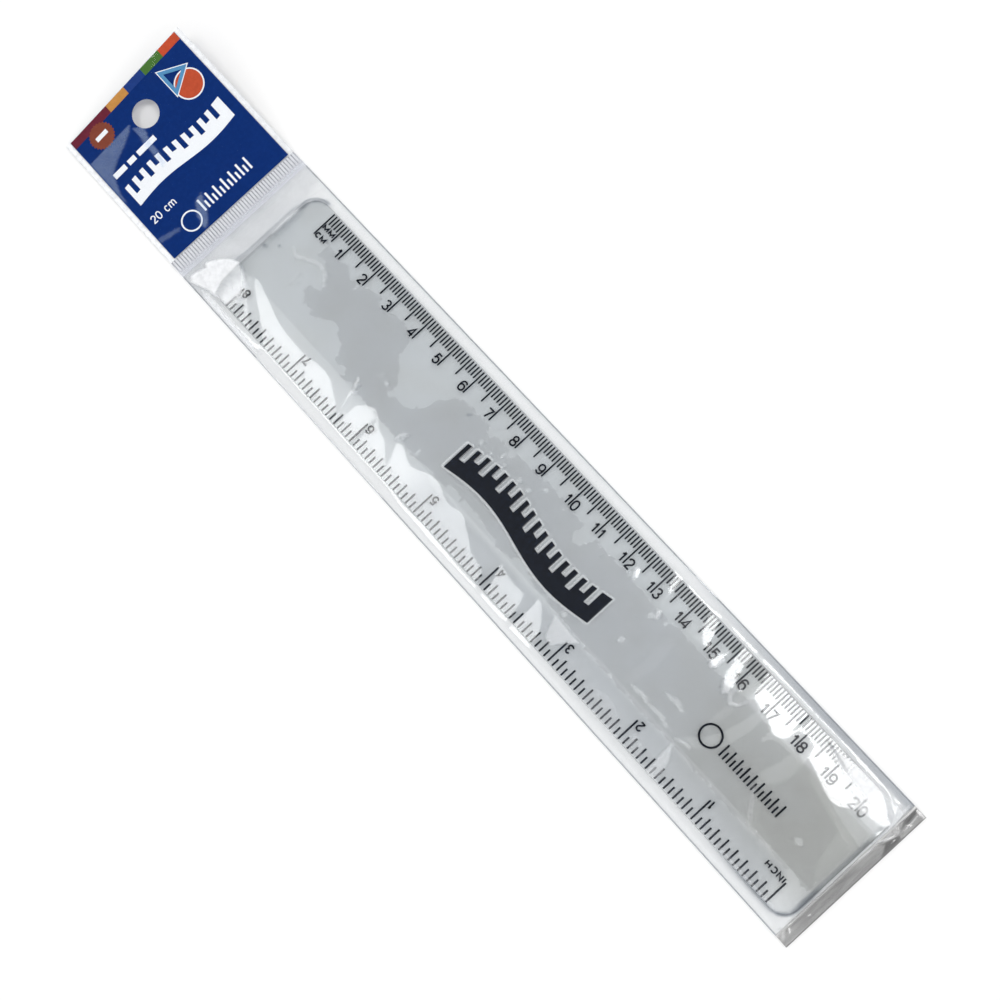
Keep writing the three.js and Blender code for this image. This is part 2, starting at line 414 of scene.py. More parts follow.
def material_nodes(name):
    return Nodes(bpy.data.materials.new(name))


# %% [markdown]
# ## Materials
#
# The blade's plastic is faintly grey and takes most of the light: a look down through it loses two fifths.
# The bag's film takes little, but it clings to the blade in patches. Where it clings there is no air
# between, so the patch looks darker, with a crisp irregular edge.

# %% Clear plastic
BLADE_TINT = (0.905, 0.9155, 0.922, 1)
FOOT_TINT = (0.866, 0.869, 0.860, 1)
THIN_TINT = (0.985, 0.989, 0.991, 1)
EDGE_TINT = (0.80, 0.81, 0.815, 1)


def shifted(tint, towards):
    """A tint changed as the blade's tint would be to become the other one."""
    return tuple(v * t / b for v, t, b in zip(tint[:3], towards, BLADE_TINT)) + (1,)


def blade_material(name, tint, face_on):
    n = material_nodes(name)
    place = n.attribute("place", "Vector")
    cloud = n.noise(place, 0.09, 3.0)
    split = n.add("ShaderNodeSeparateXYZ", {"Vector": place})
    along, across = split.outputs["X"], split.outputs["Y"]
    towards_foot = n.math("ADD", n.ramp(along, 60.0, 130.0), n.ramp(cloud, 0.3, 0.7, -0.1, 0.2))
    tint_shown = n.colour(towards_foot, tint, shifted(tint, FOOT_TINT))
    # Both bevels thin out towards the edge, and there the plastic takes less light
    inch_start = n.ramp(across, -8.8, -9.4, 0.0, 0.36)
    inch_fall = n.ramp(across, -9.4, -19.0, smooth=False)
    inch_slope = n.math("MULTIPLY", inch_fall, n.ramp(along, 25.0, 60.0, 0.2, 0.6))
    cm_foot = n.math("MULTIPLY", n.ramp(across, 9.4, 11.0), n.ramp(along, 91.6, 93.6, 0.0, 0.75))
    thin = n.math("ADD", n.math("ADD", inch_start, inch_slope), cm_foot)
    tint_shown = n.colour(thin, tint_shown, shifted(tint, THIN_TINT))
    bump = n.bump(n.noise(place, 0.35), 0.00001)
    return n.finish_glossy(n.clear(tint_shown), face_on, 0.24, bump)


blade_plastic = blade_material("blade_plastic", BLADE_TINT, 0.009)
blade_rim = blade_material("blade_rim", EDGE_TINT, 0.03)

# %% Clear film
FILM_TINT = (0.994, 0.9965, 0.9985, 1)
CLING_TINT = (0.938, 0.939, 0.943, 1)
VEIL_COLOUR = (0.93, 0.945, 0.965, 1)
GREY_TINT = (0.788, 0.80, 0.817, 1)
HALO_HAZE = 0.13


def film_material(name, roughness, face_on, veil_colour=VEIL_COLOUR):
    """The mesh says where the film clings and how hard, how hazy it is with its painted glare, how shaded,
    and where the halo is.
    """
    n = material_nodes(name)
    place = n.attribute("place", "Vector")
    ragged = n.math("MULTIPLY", n.math("SUBTRACT", n.noise(place, 0.45, 8.0, 0.6, 0.7), 0.5), 4.6)
    cling = n.ramp(n.math("ADD", n.attribute("cling"), ragged), -0.05, 0.05)
    tint = n.colour(n.math("MULTIPLY", cling, n.attribute("hold")), FILM_TINT, CLING_TINT)
    tint = n.colour(n.attribute("shade"), tint, GREY_TINT)
    relief = n.math("ADD", n.math("MULTIPLY", cling, -0.5), n.noise(place, 0.25, 1.0))
    mottle = n.ramp(n.noise(place, 0.6, 5.0), 0.3, 0.7, 0.87, 1.13)
    haze_and_glare = n.math("MULTIPLY", n.attribute("haze_and_glare"), mottle)
    haze_and_glare = n.math("ADD", haze_and_glare, n.ramp(n.attribute("halo"), 0.45, 0.7, 0.0, HALO_HAZE))
    body = n.blend(haze_and_glare, n.clear(tint), n.solid(veil_colour, 0.5))
    return n.finish_glossy(body, face_on, roughness, n.bump(relief, 0.00001))


front_film = film_material("front_film", 0.09, 0.036)
back_film = film_material("back_film", 0.2, 0.015)

# %% Cut faces and inks
n = material_nodes("cut_face")
cut_face = n.finish(n.clear(grey(1.0)))


def show_cut(piece, cuts):
    """The flat ends where a long piece is cut into parts get the material that shows nothing."""
    piece.data.materials.append(cut_face)
    slot = len(piece.data.materials) - 1
    for face in piece.data.polygons:
        if abs(face.normal.x) > 0.9 and min(abs(face.center.x / MM - cut) for cut in cuts) < 1e-3:
            face.material_index = slot


def ink_material(name, colour, mottle=0.12):
    """Printed ink: even from afar, faintly mottled close up."""
    n = material_nodes(name)
    spots = n.noise(n.add("ShaderNodeTexCoord").outputs["Object"], 900.0, 3.0)
    worn = tuple(min(1.0, v * (1 + mottle) + 0.001) for v in colour[:3]) + (1,)
    shown = n.colour(n.ramp(spots, 0.35, 0.75), colour, worn)
    more = {"Normal": n.bump(spots, 0.00001), "Specular IOR Level": 0.03}
    return n.finish(n.solid(shown, 0.6, more))


scale_ink = ink_material("scale_ink", rgb(20, 27, 41))
header_blue = ink_material("header_blue", rgb(6, 43, 108))
white_ink = ink_material("white_ink", rgb(238, 240, 243), mottle=0.02)

# %% [markdown]
# ## The blade
#
# The blade is one strip of soft clear plastic with a flat land in the middle, two long bevels and rounded
# corners. A block gets its rounded corners by bevelling its four upright edges. Two bisecting cuts mark the
# land, and the corner points outside it are lowered to make the bevels. Cuts across it every few
# millimetres let it bend.

# %% Blade
BEND_STEP = 2.6
RIM_BEVEL = 0.16

pick()
bpy.ops.mesh.primitive_cube_add(
    size=1,
    location=((blade_start + blade_end) / 2 * MM, 0, (blade_bottom + land_top) / 2 * MM),
    scale=((blade_end - blade_start) * MM, 2 * half_blade * MM, (land_top - blade_bottom) * MM),
)
blade = named("blade")
settle(blade)
bevel_upright_edges(blade, CORNER_RADIUS, 10)
for side in (-1, 1):
    bisect(blade, y=side * HALF_LAND)
points = corners_of(blade)
slope = (land_top - EDGE_TOP) / (half_blade - HALF_LAND)
outside = np.maximum(np.abs(points[:, 1]) - HALF_LAND, 0)
points[:, 2] -= np.where(points[:, 2] > (blade_bottom + land_top) / 2, outside * slope, 0)
move_corners(blade, points)
sharp = math.radians(40)
apply_modifier(blade, "BEVEL", width=RIM_BEVEL * MM, segments=2, limit_method="ANGLE", angle_limit=sharp)
for x in np.arange(blade_start + CORNER_RADIUS, blade_end - CORNER_RADIUS + 0.1, BEND_STEP):
    bisect(blade, x=float(x))
blade.data.materials.append(blade_plastic)
blade.data.materials.append(blade_rim)
for face in blade.data.polygons:
    face.material_index = 1 if abs(face.normal.z) < 0.93 else 0
print("blade faces:", len(blade.data.polygons))

# %% Blade in parts
for n, starts, ends, _, _ in parts:
    piece = copy_of(blade, f"blade_part_{n}")
    cuts = []
    if n > 1:
        bisect(piece, x=starts, clear_inner=True, fill=True)
        cuts.append(starts)
    if n < SPANS - 1:
        bisect(piece, x=ends, clear_outer=True, fill=True)
        cuts.append(ends)
    smooth(piece, 30)
    show_cut(piece, cuts)
    remember_place(piece)
    bends(piece)
    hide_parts(*spans_of("blade_span", n))
bpy.data.objects.remove(blade)

# %% [markdown]
# ## The printed scales
#
# The lines are screen printed on the blade's underside and show through it. One line is modelled as a thin
# plate with soft corners and copied for every place, its inner end moved to give it the right length. Lines
# and figures are joined part by part, one piece for each part of the blade.

# %% Printed lines
INK_TOP = blade_bottom - 0.01
INK_THICKNESS = 0.03
SCALE_BASE = 18.8
CM_LINES = {"whole": 7.6, "half": 5.7, "plain": 3.1}
CM_WIDTH = 0.45
INCH = 25.4
INCH_LINES = {"whole": 6.6, "even": 3.5, "odd": 2.3}
INCH_WIDTH = 0.5
INCH_ZERO = ZERO_LINE + 201.4

pick()
bpy.ops.mesh.primitive_cube_add(size=1, scale=(MM, MM, INK_THICKNESS * MM))
line_pattern = named("line_pattern")
settle(line_pattern)
bevel_upright_edges(line_pattern, 0.2, 2)
line_corners = corners_of(line_pattern)


def printed_line(x, base, inward, length, width):
    """A line at x whose outer end is at y = base, and whose inner end lies the length away, inward."""
    line = copy_of(line_pattern, "line")
    corners = line_corners.copy()
    corners[:, 0] = x + corners[:, 0] * width
    far = corners[:, 1] > 0
    end = corners[:, 1] - np.where(far, 0.5, -0.5)
    corners[:, 1] = base + inward * np.where(far, length, 0) + inward * end * width
    corners[:, 2] += INK_TOP - INK_THICKNESS / 2
    if inward < 0:
        line.data.flip_normals()
    move_corners(line, corners)
    return line


def part_at(x):
    """The number of the part that the place x lies on."""
    return next((n for n, _, ends, _, _ in parts if x <= ends), parts[-1][0])


# %% [markdown]
# ## The figures
#
# The figures are plain and even in weight. Each is a path of strokes in a box one wide and one high. A
# stroke is a narrow grid laid along its path, with mitred turns.


# %% Figures as paths
def bow(x, y, rx, ry, from_angle, to_angle, steps=18, square=1.0):
    """Points on an arc, in degrees. A square share under 1 makes it a little boxier than an ellipse."""
    points = []
    for angle in np.radians(np.linspace(from_angle, to_angle, steps + 1)):
        c, s = math.cos(angle), math.sin(angle)
        away_x = rx * math.copysign(abs(c) ** square, c)
        away_y = ry * math.copysign(abs(s) ** square, s)
        points.append((x + away_x, y + away_y))
    return points


SIX = [
    bow(0.5, 0.32, 0.5, 0.32, 0, 360, 30, 0.92),
    bow(0.54, 0.6, 0.54, 0.4, 35, 180, 14, 0.95) + [(0.0, 0.34)],
]
FIGURES = {
    "0": [bow(0.5, 0.5, 0.5, 0.5, 0, 360, 32, 0.88)],
    "1": [[(0.0, 0.72), (0.4, 0.78), (0.95, 1.0)], [(1.0, 1.0), (1.0, 0.0)]],
    "2": [bow(0.5, 0.71, 0.48, 0.29, 172, -38, 16) + [(0.42, 0.27), (0.06, 0.0)], [(0.0, 0.0), (1.0, 0.0)]],
    "3": [bow(0.48, 0.75, 0.43, 0.25, 160, -90, 16), bow(0.48, 0.26, 0.5, 0.26, 90, -158, 18)],
    "4": [[(0.76, 0.0), (0.76, 0.98), (0.0, 0.27), (1.0, 0.27)]],
    "5": [[(0.9, 1.0), (0.2, 1.0), (0.08, 0.5)] + bow(0.48, 0.33, 0.5, 0.33, 148, -155, 18)],
    "6": SIX,
    "7": [[(0.0, 1.0), (1.0, 1.0), (0.62, 0.5), (0.36, 0.0)]],
    "8": [bow(0.5, 0.755, 0.42, 0.245, 0, 360, 26), bow(0.5, 0.265, 0.5, 0.265, 0, 360, 28)],
    "9": [[(1 - x, 1 - y) for x, y in path] for path in SIX],
    "M": [[(0.0, 0.0), (0.0, 1.0), (0.5, 0.12), (1.0, 1.0), (1.0, 0.0)]],
    "C": [bow(0.52, 0.5, 0.52, 0.5, 42, 318, 22, 0.92)],
    "I": [[(0.5, 0.0), (0.5, 1.0)]],
    "N": [[(0.0, 0.0), (0.0, 1.0), (1.0, 0.0), (1.0, 1.0)]],
    "H": [[(0.0, 0.0), (0.0, 1.0)], [(1.0, 0.0), (1.0, 1.0)], [(0.0, 0.52), (1.0, 0.52)]],
    "c": [bow(0.52, 0.37, 0.52, 0.37, 42, 318, 18)],
    "m": [
        [(0.0, 0.0), (0.0, 0.76)],
        bow(0.25, 0.48, 0.25, 0.26, 170, 0, 8) + [(0.5, 0.0)],
        bow(0.75, 0.48, 0.25, 0.26, 170, 0, 8) + [(1.0, 0.0)],
    ],
}


# %% Strokes and lettering
def stroke(path, width):
    """A narrow flat grid laid along a path of points in millimetres."""
    path = np.array(path, float)
    closed = np.allclose(path[0], path[-1])
    ahead = np.vstack([path[1:] - path[:-1], [path[1] - path[0]] if closed else [path[-1] - path[-2]]])
    behind = np.vstack([[path[-1] - path[-2]] if closed else [path[1] - path[0]], path[1:] - path[:-1]])
    ahead /= np.linalg.norm(ahead, axis=1)[:, None]
    behind /= np.linalg.norm(behind, axis=1)[:, None]
    along = ahead + behind
    along /= np.linalg.norm(along, axis=1)[:, None]
    mitre = 1 / np.maximum((along * ahead).sum(1), 0.42)
    piece = grid("stroke", np.arange(len(path), dtype=float), [-0.5, 0.5])
    corners = corners_of(piece)
    column = np.rint(corners[:, 0]).astype(int)
    off = corners[:, 1] * width * mitre[column]
    corners[:, 0] = path[column, 0] - along[column, 1] * off
    corners[:, 1] = path[column, 1] + along[column, 0] * off
    move_corners(piece, corners)
    return piece


def print_on_blade(piece):
    """Gives a flat print its thickness, with its upper face just under the blade."""
    points = corners_of(piece)
    points[:, 2] = INK_TOP
    move_corners(piece, points)
    apply_modifier(piece, "SOLIDIFY", thickness=INK_THICKNESS * MM, offset=-1)


def lettering(text, centre, height, widths, weight, gap=0.0, turned=False):
    """Figures side by side, with their common middle at centre. Widths is one for all, or one for each."""
    widths = list(widths) if isinstance(widths, (list, tuple)) else [widths] * len(text)
    way = -1 if turned else 1
    left = -(sum(widths) + gap * (len(text) - 1)) / 2
    strokes = []
    for figure, wide in zip(text, widths):
        for path in FIGURES.get(figure, []):
            placed = []
            for x, y in path:
                px = left + weight / 2 + x * (wide - weight)
                py = -height / 2 + weight / 2 + y * (height - weight)
                placed.append((centre[0] + way * px, centre[1] + way * py))
            strokes.append(stroke(placed, weight))
        left += wide + gap
    words = join(strokes, "figures")
    print_on_blade(words)
    return words


# %% Lines of both scales
LINES_PER_INCH, INCHES = 16, 8

print_jobs = {n: {"cm": [], "inch": []} for n, *_ in parts}
for i in range(SCALE_LENGTH + 1):
    x = ZERO_LINE + i
    length = CM_LINES["whole" if i % 10 == 0 else "half" if i % 5 == 0 else "plain"]
    print_jobs[part_at(x)]["cm"].append(printed_line(x, SCALE_BASE, -1, length, CM_WIDTH))
for i in range(INCHES * LINES_PER_INCH + 1):
    x = INCH_ZERO - i * (INCH / LINES_PER_INCH)
    length = INCH_LINES["whole" if i % LINES_PER_INCH == 0 else "even" if i % 2 == 0 else "odd"]
    print_jobs[part_at(x)]["inch"].append(printed_line(x, -SCALE_BASE, 1, length, INCH_WIDTH))
print("printed lines:", sum(len(lines) for job in print_jobs.values() for lines in job.values()))

# %% Figures of both scales
CM_FIGURE_Y, CM_FIGURE_HEIGHT = 12.38, 3.1
ONE_WIDTH, FIGURE_WIDTH, FIGURE_WEIGHT = 1.15, 2.0, 0.47
# Gaps from a centimetre line to a 1, a single figure or a 2 before it, and to the figure after it
ONE_GAP, SINGLE_GAP, TWO_GAP, AFTER_GAP = 0.8, 0.4, 0.45, 0.35
INCH_FIGURE_Y, INCH_FIGURE_HEIGHT, INCH_FIGURE_WEIGHT = -12.85, 2.6, 0.46
INCH_ONE_WIDTH, INCH_FIGURE_WIDTH, INCH_GAP = 0.8, 1.75, 0.7

for cm in range(1, SCALE_LENGTH // 10 + 1):
    x = ZERO_LINE + 10 * cm
    if cm < 10:
        wide = ONE_WIDTH if cm == 1 else FIGURE_WIDTH
        places = [(str(cm), x - (ONE_GAP if cm == 1 else SINGLE_GAP) - wide / 2, wide)]
    else:
        tens = ONE_WIDTH if cm < 20 else FIGURE_WIDTH
        units = ONE_WIDTH if cm == 11 else FIGURE_WIDTH
        before = x - (ONE_GAP if cm < 20 else TWO_GAP) - tens / 2
        places = [(str(cm // 10), before, tens), (str(cm % 10), x + AFTER_GAP + units / 2, units)]
    for figure, place, wide in places:
        figures = lettering(figure, (place, CM_FIGURE_Y), CM_FIGURE_HEIGHT, wide, FIGURE_WEIGHT)
        print_jobs[part_at(x)]["cm"].append(figures)
for inch in range(1, INCHES + 1):
    x = INCH_ZERO - INCH * inch
    wide = INCH_ONE_WIDTH if inch == 1 else INCH_FIGURE_WIDTH
    centre = (x + INCH_GAP + wide / 2, INCH_FIGURE_Y)
    figures = lettering(str(inch), centre, INCH_FIGURE_HEIGHT, wide, INCH_FIGURE_WEIGHT, turned=True)
    print_jobs[part_at(x)]["inch"].append(figures)

# %% Unit marks, and the scales in parts
mm_mark = lettering("MM", (ZERO_LINE + 2.4, 14.5), 1.6, 2.0, 0.44, 0.25)
cm_mark = lettering("CM", (ZERO_LINE + 2.15, 11.8), 1.7, [1.55, 1.95], 0.44, 0.2)
inch_mark = lettering("INCH", (126.1, -12.2), 1.8, [0.42, 1.6, 1.6, 1.5], 0.4, 0.32, turned=True)
print_jobs[1]["cm"] += [mm_mark, cm_mark]
print_jobs[6]["inch"].append(inch_mark)

for n, *_ in parts:
    for kind in ("cm", "inch"):
        piece = join(print_jobs[n][kind], f"{kind}_scale_part_{n}")
        settle(piece)
        paint(piece, scale_ink)
        bends(piece)
        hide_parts(*spans_of(f"{kind}_scale_span", n))
        print(piece.name, len(piece.data.polygons), "faces")
bpy.data.objects.remove(line_pattern)

# %% [markdown]
# ## The printed motifs
#
# A dark wavy ruler is printed in the middle of the blade, and a ring with a short row of lines near the
# foot. The wavy ruler is a grid whose upper rows lose faces where the notches are. It is then bent into a
# wave and given a little thickness.

# %% Wavy ruler
WAVE_FROM, WAVE_LENGTH = ZERO_LINE + 71, 54
WAVE_HEIGHT, WAVE_SWING, WAVE_Y = 8.6, 1.9, -1.0
NOTCHES = 18
SHALLOW_NOTCH, DEEP_NOTCH = 0.35, 0.55


def notched_band(name, length, height, notches, steps=6):
    """A flat band from x = 0 to length, with deep and shallow notches by turns in its upper edge."""
    pitch = length / notches
    xs = np.linspace(0, length, notches * steps + 1)
    shallow, deep = height * (0.5 - SHALLOW_NOTCH), height * (0.5 - DEEP_NOTCH)
    ys = list(np.linspace(-height / 2, deep, 7)) + list(np.linspace(shallow, height / 2, 5))
    band = grid(name, xs, ys)
    start_selection(band, (False, False, True))
    for face in band.data.polygons:
        x, y = face.center.x / MM, face.center.y / MM
        i = min(notches - 1, max(0, int(math.floor(x / pitch))))
        in_notch = (i + 0.5) * pitch < x and i < notches - 1
        face.select = in_notch and y > (shallow if i % 2 else deep)
    with edit_mode():
        bpy.ops.mesh.delete(type="FACE")
    return band


band = notched_band("wave_motif", WAVE_LENGTH, WAVE_HEIGHT, NOTCHES)
points = corners_of(band)
points[:, 1] += WAVE_Y + WAVE_SWING * np.sin(2 * math.pi * points[:, 0] / WAVE_LENGTH)
points[:, 0] += WAVE_FROM
move_corners(band, points)
print_on_blade(band)
for n, spans in ((3, (3,)), (4, (4, 5))):
    piece = copy_of(band, f"wave_motif_part_{n}")
    bisect(piece, x=middles[3], clear_outer=n == 3, clear_inner=n == 4, fill=True)
    paint(piece, scale_ink)
    bends(piece)
    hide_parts(*[f"wave_motif_span_{k}" for k in spans])
bpy.data.objects.remove(band)

# %% Ring and row of lines
RING_X, RING_Y, RING_RADIUS, RING_INNER = ZERO_LINE + 165, -1.75, 3.1, 2.55
BAR_FROM, BAR_PITCH, BAR_COUNT = RING_X + 4.6, 1.2, 17
BAR_HEIGHT, BAR_WIDTH, SHORT_BAR = 3.6, 0.5, 0.6


def circle(name, x, y, radius, corners, fill="NOTHING"):
    """A circle primitive of so many corners around x and y."""
    pick()
    place = (x * MM, y * MM, 0)
    bpy.ops.mesh.primitive_circle_add(vertices=corners, radius=radius * MM, fill_type=fill, location=place)
    piece = named(name)
    settle(piece)
    return piece


def ring_plate(name, x, y, radius, inner):
    """A flat ring: a circle of edges extruded inwards by a scale."""
    piece = circle(name, x, y, radius, 64)
    share = inner / radius
    with edit_mode("SELECT"):
        bpy.ops.mesh.extrude_edges_move()
        bpy.ops.transform.resize(value=(share, share, 1), center_override=(x * MM, y * MM, 0))
        bpy.ops.mesh.select_all(action="SELECT")
        bpy.ops.mesh.normals_make_consistent(inside=False)
    return piece


pieces = [ring_plate("ring", RING_X, RING_Y, RING_RADIUS, RING_INNER)]
base = RING_Y - BAR_HEIGHT / 2
for i in range(BAR_COUNT):
    tall = BAR_HEIGHT * (SHORT_BAR if i % 2 else 1.0)
    x = BAR_FROM + i * BAR_PITCH
    pieces.append(grid("bar", [x - BAR_WIDTH / 2, x + BAR_WIDTH / 2], [base, base + tall]))
for piece in pieces:
    print_on_blade(piece)
small_motif = join(pieces, "small_motif")
paint(small_motif, scale_ink)
bends(small_motif)
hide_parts("ring_motif", "bar_motif_span_6", "bar_motif_span_7")
print("small motif:", BAR_COUNT, "lines beside a ring")

# %% [markdown]
# ## Words for shapes that aren't straight
#
# Film has no straight parts, so its shape is worked out on arrays of places. A soft step, a bell, smooth
# noise, the distance to an outline and a rounded fold are all that it takes. The same words later say
# where the film is hazy, shaded or clinging.


# %% Soft steps, bells and noise
def rise(value, low, high):
    """A soft step from 0 at low to 1 at high."""
    share = np.clip((value - low) / (high - low), 0, 1)
    return share * share * (3 - 2 * share)


def bell(value, width):
    """1 at zero, falling away softly to both sides."""
    return np.exp(-((value / width) ** 2))


def after_crimp(x, reach):
    """1 at the crimped weld, dying away past it."""
    return np.exp(-np.maximum(x - crimp_end, 0) / reach)


def cloud(x, y, scale_x, scale_y, seed):
    """Smooth noise between about -1 and 1, longer one way than the other if the scales differ."""
    return np.array([noise.noise(Vector((a / scale_x, b / scale_y, seed))) for a, b in zip(x, y)])


# %% Outlines and folds
def outside_blade(x, y):
    """How far a place lies outside the blade's rounded outline; negative inside."""
    half = (blade_end - blade_start) / 2
    qx = np.abs(x - (blade_start + blade_end) / 2) - (half - CORNER_RADIUS)
    qy = np.abs(y) - (half_blade - CORNER_RADIUS)
    beyond = np.hypot(np.maximum(qx, 0), np.maximum(qy, 0))
    return beyond + np.minimum(np.maximum(qx, qy), 0) - CORNER_RADIUS


def distance_inside(x, y, outline):
    """Distance to a closed outline, positive inside it."""
    best = np.full(np.shape(x), 1e9)
    inside = np.zeros(np.shape(x), bool)
    for (ax, ay), (bx, by) in zip(outline, outline[1:] + outline[:1]):
        dx, dy = bx - ax, by - ay
        share = np.clip(((x - ax) * dx + (y - ay) * dy) / (dx * dx + dy * dy), 0, 1)
        best = np.minimum(best, np.hypot(x - ax - share * dx, y - ay - share * dy))
        crosses = (ay > y) != (by > y)
        inside ^= crosses & (x < ax + (y - ay) * dx / (dy if dy else 1e-9))
    return np.where(inside, best, -best)


def crease(x, y, path, width, height):
    """A rounded fold along a path of points, fading out at both ends."""
    best = np.full(np.shape(x), 1e9)
    along = np.zeros(np.shape(x))
    lengths = [math.dist(a, b) for a, b in zip(path, path[1:])]
    total, gone = sum(lengths), 0.0
    for (ax, ay), (bx, by), length in zip(path, path[1:], lengths):
        share = np.clip(((x - ax) * (bx - ax) + (y - ay) * (by - ay)) / length**2, 0, 1)
        away = np.hypot(x - ax - share * (bx - ax), y - ay - share * (by - ay))
        nearer = away < best
        best = np.where(nearer, away, best)
        along = np.where(nearer, (gone + share * length) / total, along)
        gone += length
    return height * bell(best, width) * np.sqrt(np.clip(np.sin(math.pi * along), 0, 1))


# %% [markdown]
# ## The shape of the film
#
# The front film lies on the blade's land, stands off the bevels and falls to the bag's welded edges. Along
# both bevels it is slack and puffed. Where a puff's slope is steep enough it mirrors a lamp, and that is
# what most of the white areas are. So the slope across the bag is set first, steep inside each puff and
# nearly level elsewhere, and the height is the sum of the slopes from the middle outwards.

# %% Puffs
# Where the puffs begin on each side, and the level fins between them: outline points in millimetres
INCH_PUFFS = [
    [
        (-90, -30), (-87.2, -16), (-84, -12), (-80.8, -8.2), (-77, -9.6), (-73, -11.8),
        (-68, -15.6), (-63, -19), (-58, -30),
    ],
    [
        (-54, -30), (-57, -19.2), (-62, -15.7), (-70, -10.5), (-75, -7.6), (-70, -8.1), (-65, -9.8),
        (-60, -11.5), (-55, -12.4), (-49, -12.6), (-44, -11.7), (-40.5, -11.4), (-37, -12.4),
        (-33.5, -14.4), (-31.2, -15.8), (-29, -30),
    ],
    [
        (-31, -30), (-29.8, -15.6), (-31.2, -12), (-32.4, -9), (-33.4, -6.7), (-31.2, -9),
        (-29.4, -11), (-27.6, -11), (-26, -8.9), (-24.6, -7.6), (-22.4, -7.9), (-20.8, -10),
        (-18.8, -11.3), (-16.4, -11.8), (-14, -14), (-11.6, -15.8), (-10, -30),
    ],
    [
        (-12, -30), (-10.6, -15.6), (-12, -13), (-13.9, -9.2), (-11, -9.2), (-9, -10.9),
        (-6.4, -11.5), (-3.6, -10.4), (-1.4, -9), (2.2, -8.8), (5, -10.4), (8, -11.1), (10.2, -9.8),
        (12.4, -9.6), (14.4, -11.2), (17, -12.6), (20, -14.8), (26, -15.8), (30, -30),
    ],
    [
        (27.4, -30), (29.6, -16), (28.4, -12), (27.2, -9.6), (29.2, -11.8), (33, -12.4),
        (37.4, -12.2), (38.6, -15.4), (39, -30),
    ],
    [(38, -30), (40, -15.5), (40.2, -8.4), (42.4, -10.8), (45, -12.6), (47, -15.8), (48, -30)],
]
CM_PUFFS = [
    [(59.6, 30), (59.4, 18.6), (60.3, 16.4), (61.6, 14.4), (62.4, 14.8), (61.8, 17), (61.2, 30)],
    [
        (71.8, 30), (72.2, 17.4), (73.6, 14.5), (76.2, 12.2), (77.6, 12.9), (76.4, 15.2),
        (74.8, 18), (74.6, 30),
    ],
    [(79.8, 10.2), (81.2, 9), (82.2, 10.4), (82.6, 13), (83.8, 16.2), (82, 15.2), (80.6, 13)],
    [
        (80.8, 30), (82.6, 17.8), (84.2, 15), (84.8, 11.8), (85.8, 9.2), (87.6, 7.3), (88.8, 8.2),
        (87.8, 11.6), (86.6, 15), (87.2, 30),
    ],
    [
        (90.6, 30), (91.8, 18), (92.6, 14), (93.8, 12.1), (96.4, 11.7), (99.4, 11), (101.4, 10.4),
        (102.4, 7.4), (103.2, 9.5), (104.6, 9.4), (105.4, 11.5), (105.8, 14.8), (108.6, 15.4),
        (111.4, 14.8), (112, 12), (115.6, 11), (119, 9.5), (123, 8.4), (125.4, 8.6), (126.2, 11),
        (128, 12.5), (132, 12.9), (134.6, 13.6), (136.4, 15), (136.4, 30),
    ],
]

# %% Sheet of places
FILM = 0.07
WELD_HEIGHT = 0.13
BACK_BOTTOM = 0.02
CLEAR_OF_BLADE = 0.07
OVER, UNDER = 0.022, 0.014
SHEET_STEP = 0.25
LAST_START = 12.0

sheet_x = np.arange(crimp_end - 1.0, weld_start + 1.0, SHEET_STEP)
sheet_y = np.arange(-half_bag - 0.25, half_bag + 0.5, SHEET_STEP)
X, Y = np.meshgrid(sheet_x, sheet_y, indexing="ij")
middle_row = int(np.argmin(np.abs(sheet_y)))
print("sheet of", X.shape[0], "by", X.shape[1], "places")


def soften(field, reach, axis):
    """Blurs a sheet along one axis, with a bell-shaped weight of the given reach in millimetres."""
    steps = max(1, int(round(3 * reach / SHEET_STEP)))
    weights = np.exp(-0.5 * (np.arange(-steps, steps + 1) * SHEET_STEP / reach) ** 2)
    weights /= weights.sum()
    pad = [(0, 0), (0, 0)]
    pad[axis] = (steps, steps)
    padded = np.pad(field, pad, mode="edge")
    length = field.shape[axis]
    return sum(w * np.take(padded, np.arange(i, i + length), axis) for i, w in enumerate(weights))


# %% Slopes and heights over the blade
def mirror_slope(rows):
    """The slope, falling outwards, at which the film starts to mirror the lamp on its side."""
    flat_y = MIRROR_GAIN * sheet_y[rows] * MM + MIRROR_SHIFT
    if sheet_y[rows[-1]] > 0:
        cm_lamp_edge = LAMPS[2][3]
        return (cm_lamp_edge - flat_y[None, :]) / 2 + 0 * X[:, rows]
    inch_lamp_edge = LAMPS[0][4] - 0.06 * rise(-sheet_x, 36, 41)
    return (flat_y[None, :] - inch_lamp_edge[:, None]) / 2


def side_height(puffs, rows):
    """Height of the film over one side of the blade, from its slopes. Rows run from the middle outwards."""
    inside = np.zeros_like(X)
    for outline in puffs:
        inside = np.maximum(inside, rise(distance_inside(X, Y, outline), -0.35, 0.35))
    inside = inside[:, rows]
    off = np.abs(sheet_y[rows])
    starts = np.where(inside.max(axis=1) > 0.5, off[np.argmax(inside > 0.5, axis=1)], LAST_START)
    starts = soften(np.minimum(starts, LAST_START)[:, None], 2.0, 0)
    slopes = mirror_slope(rows) - UNDER + (OVER + UNDER) * inside
    slopes = slopes * rise(off[None, :], starts - 1.6, starts - 0.4) * (off < half_blade + 0.2)
    drop = np.cumsum(slopes, axis=1) * SHEET_STEP
    # Where the film would sink into the bevel, its whole side is lifted just enough
    bevel_drop = slope * np.clip(off - HALF_LAND, 0, half_blade - HALF_LAND)
    need = np.maximum((drop - bevel_drop[None, :]).max(axis=1), 0.0)
    reach = int(2.0 / SHEET_STEP)
    padded = np.pad(need, reach, mode="edge")
    need = np.array([padded[i : i + 2 * reach + 1].max() for i in range(len(need))])
    need = soften(need[:, None], 1.6, 0)
    lift = need * rise(off[None, :], starts - 5.5, starts - 0.4)
    return land_top + CLEAR_OF_BLADE + lift - drop


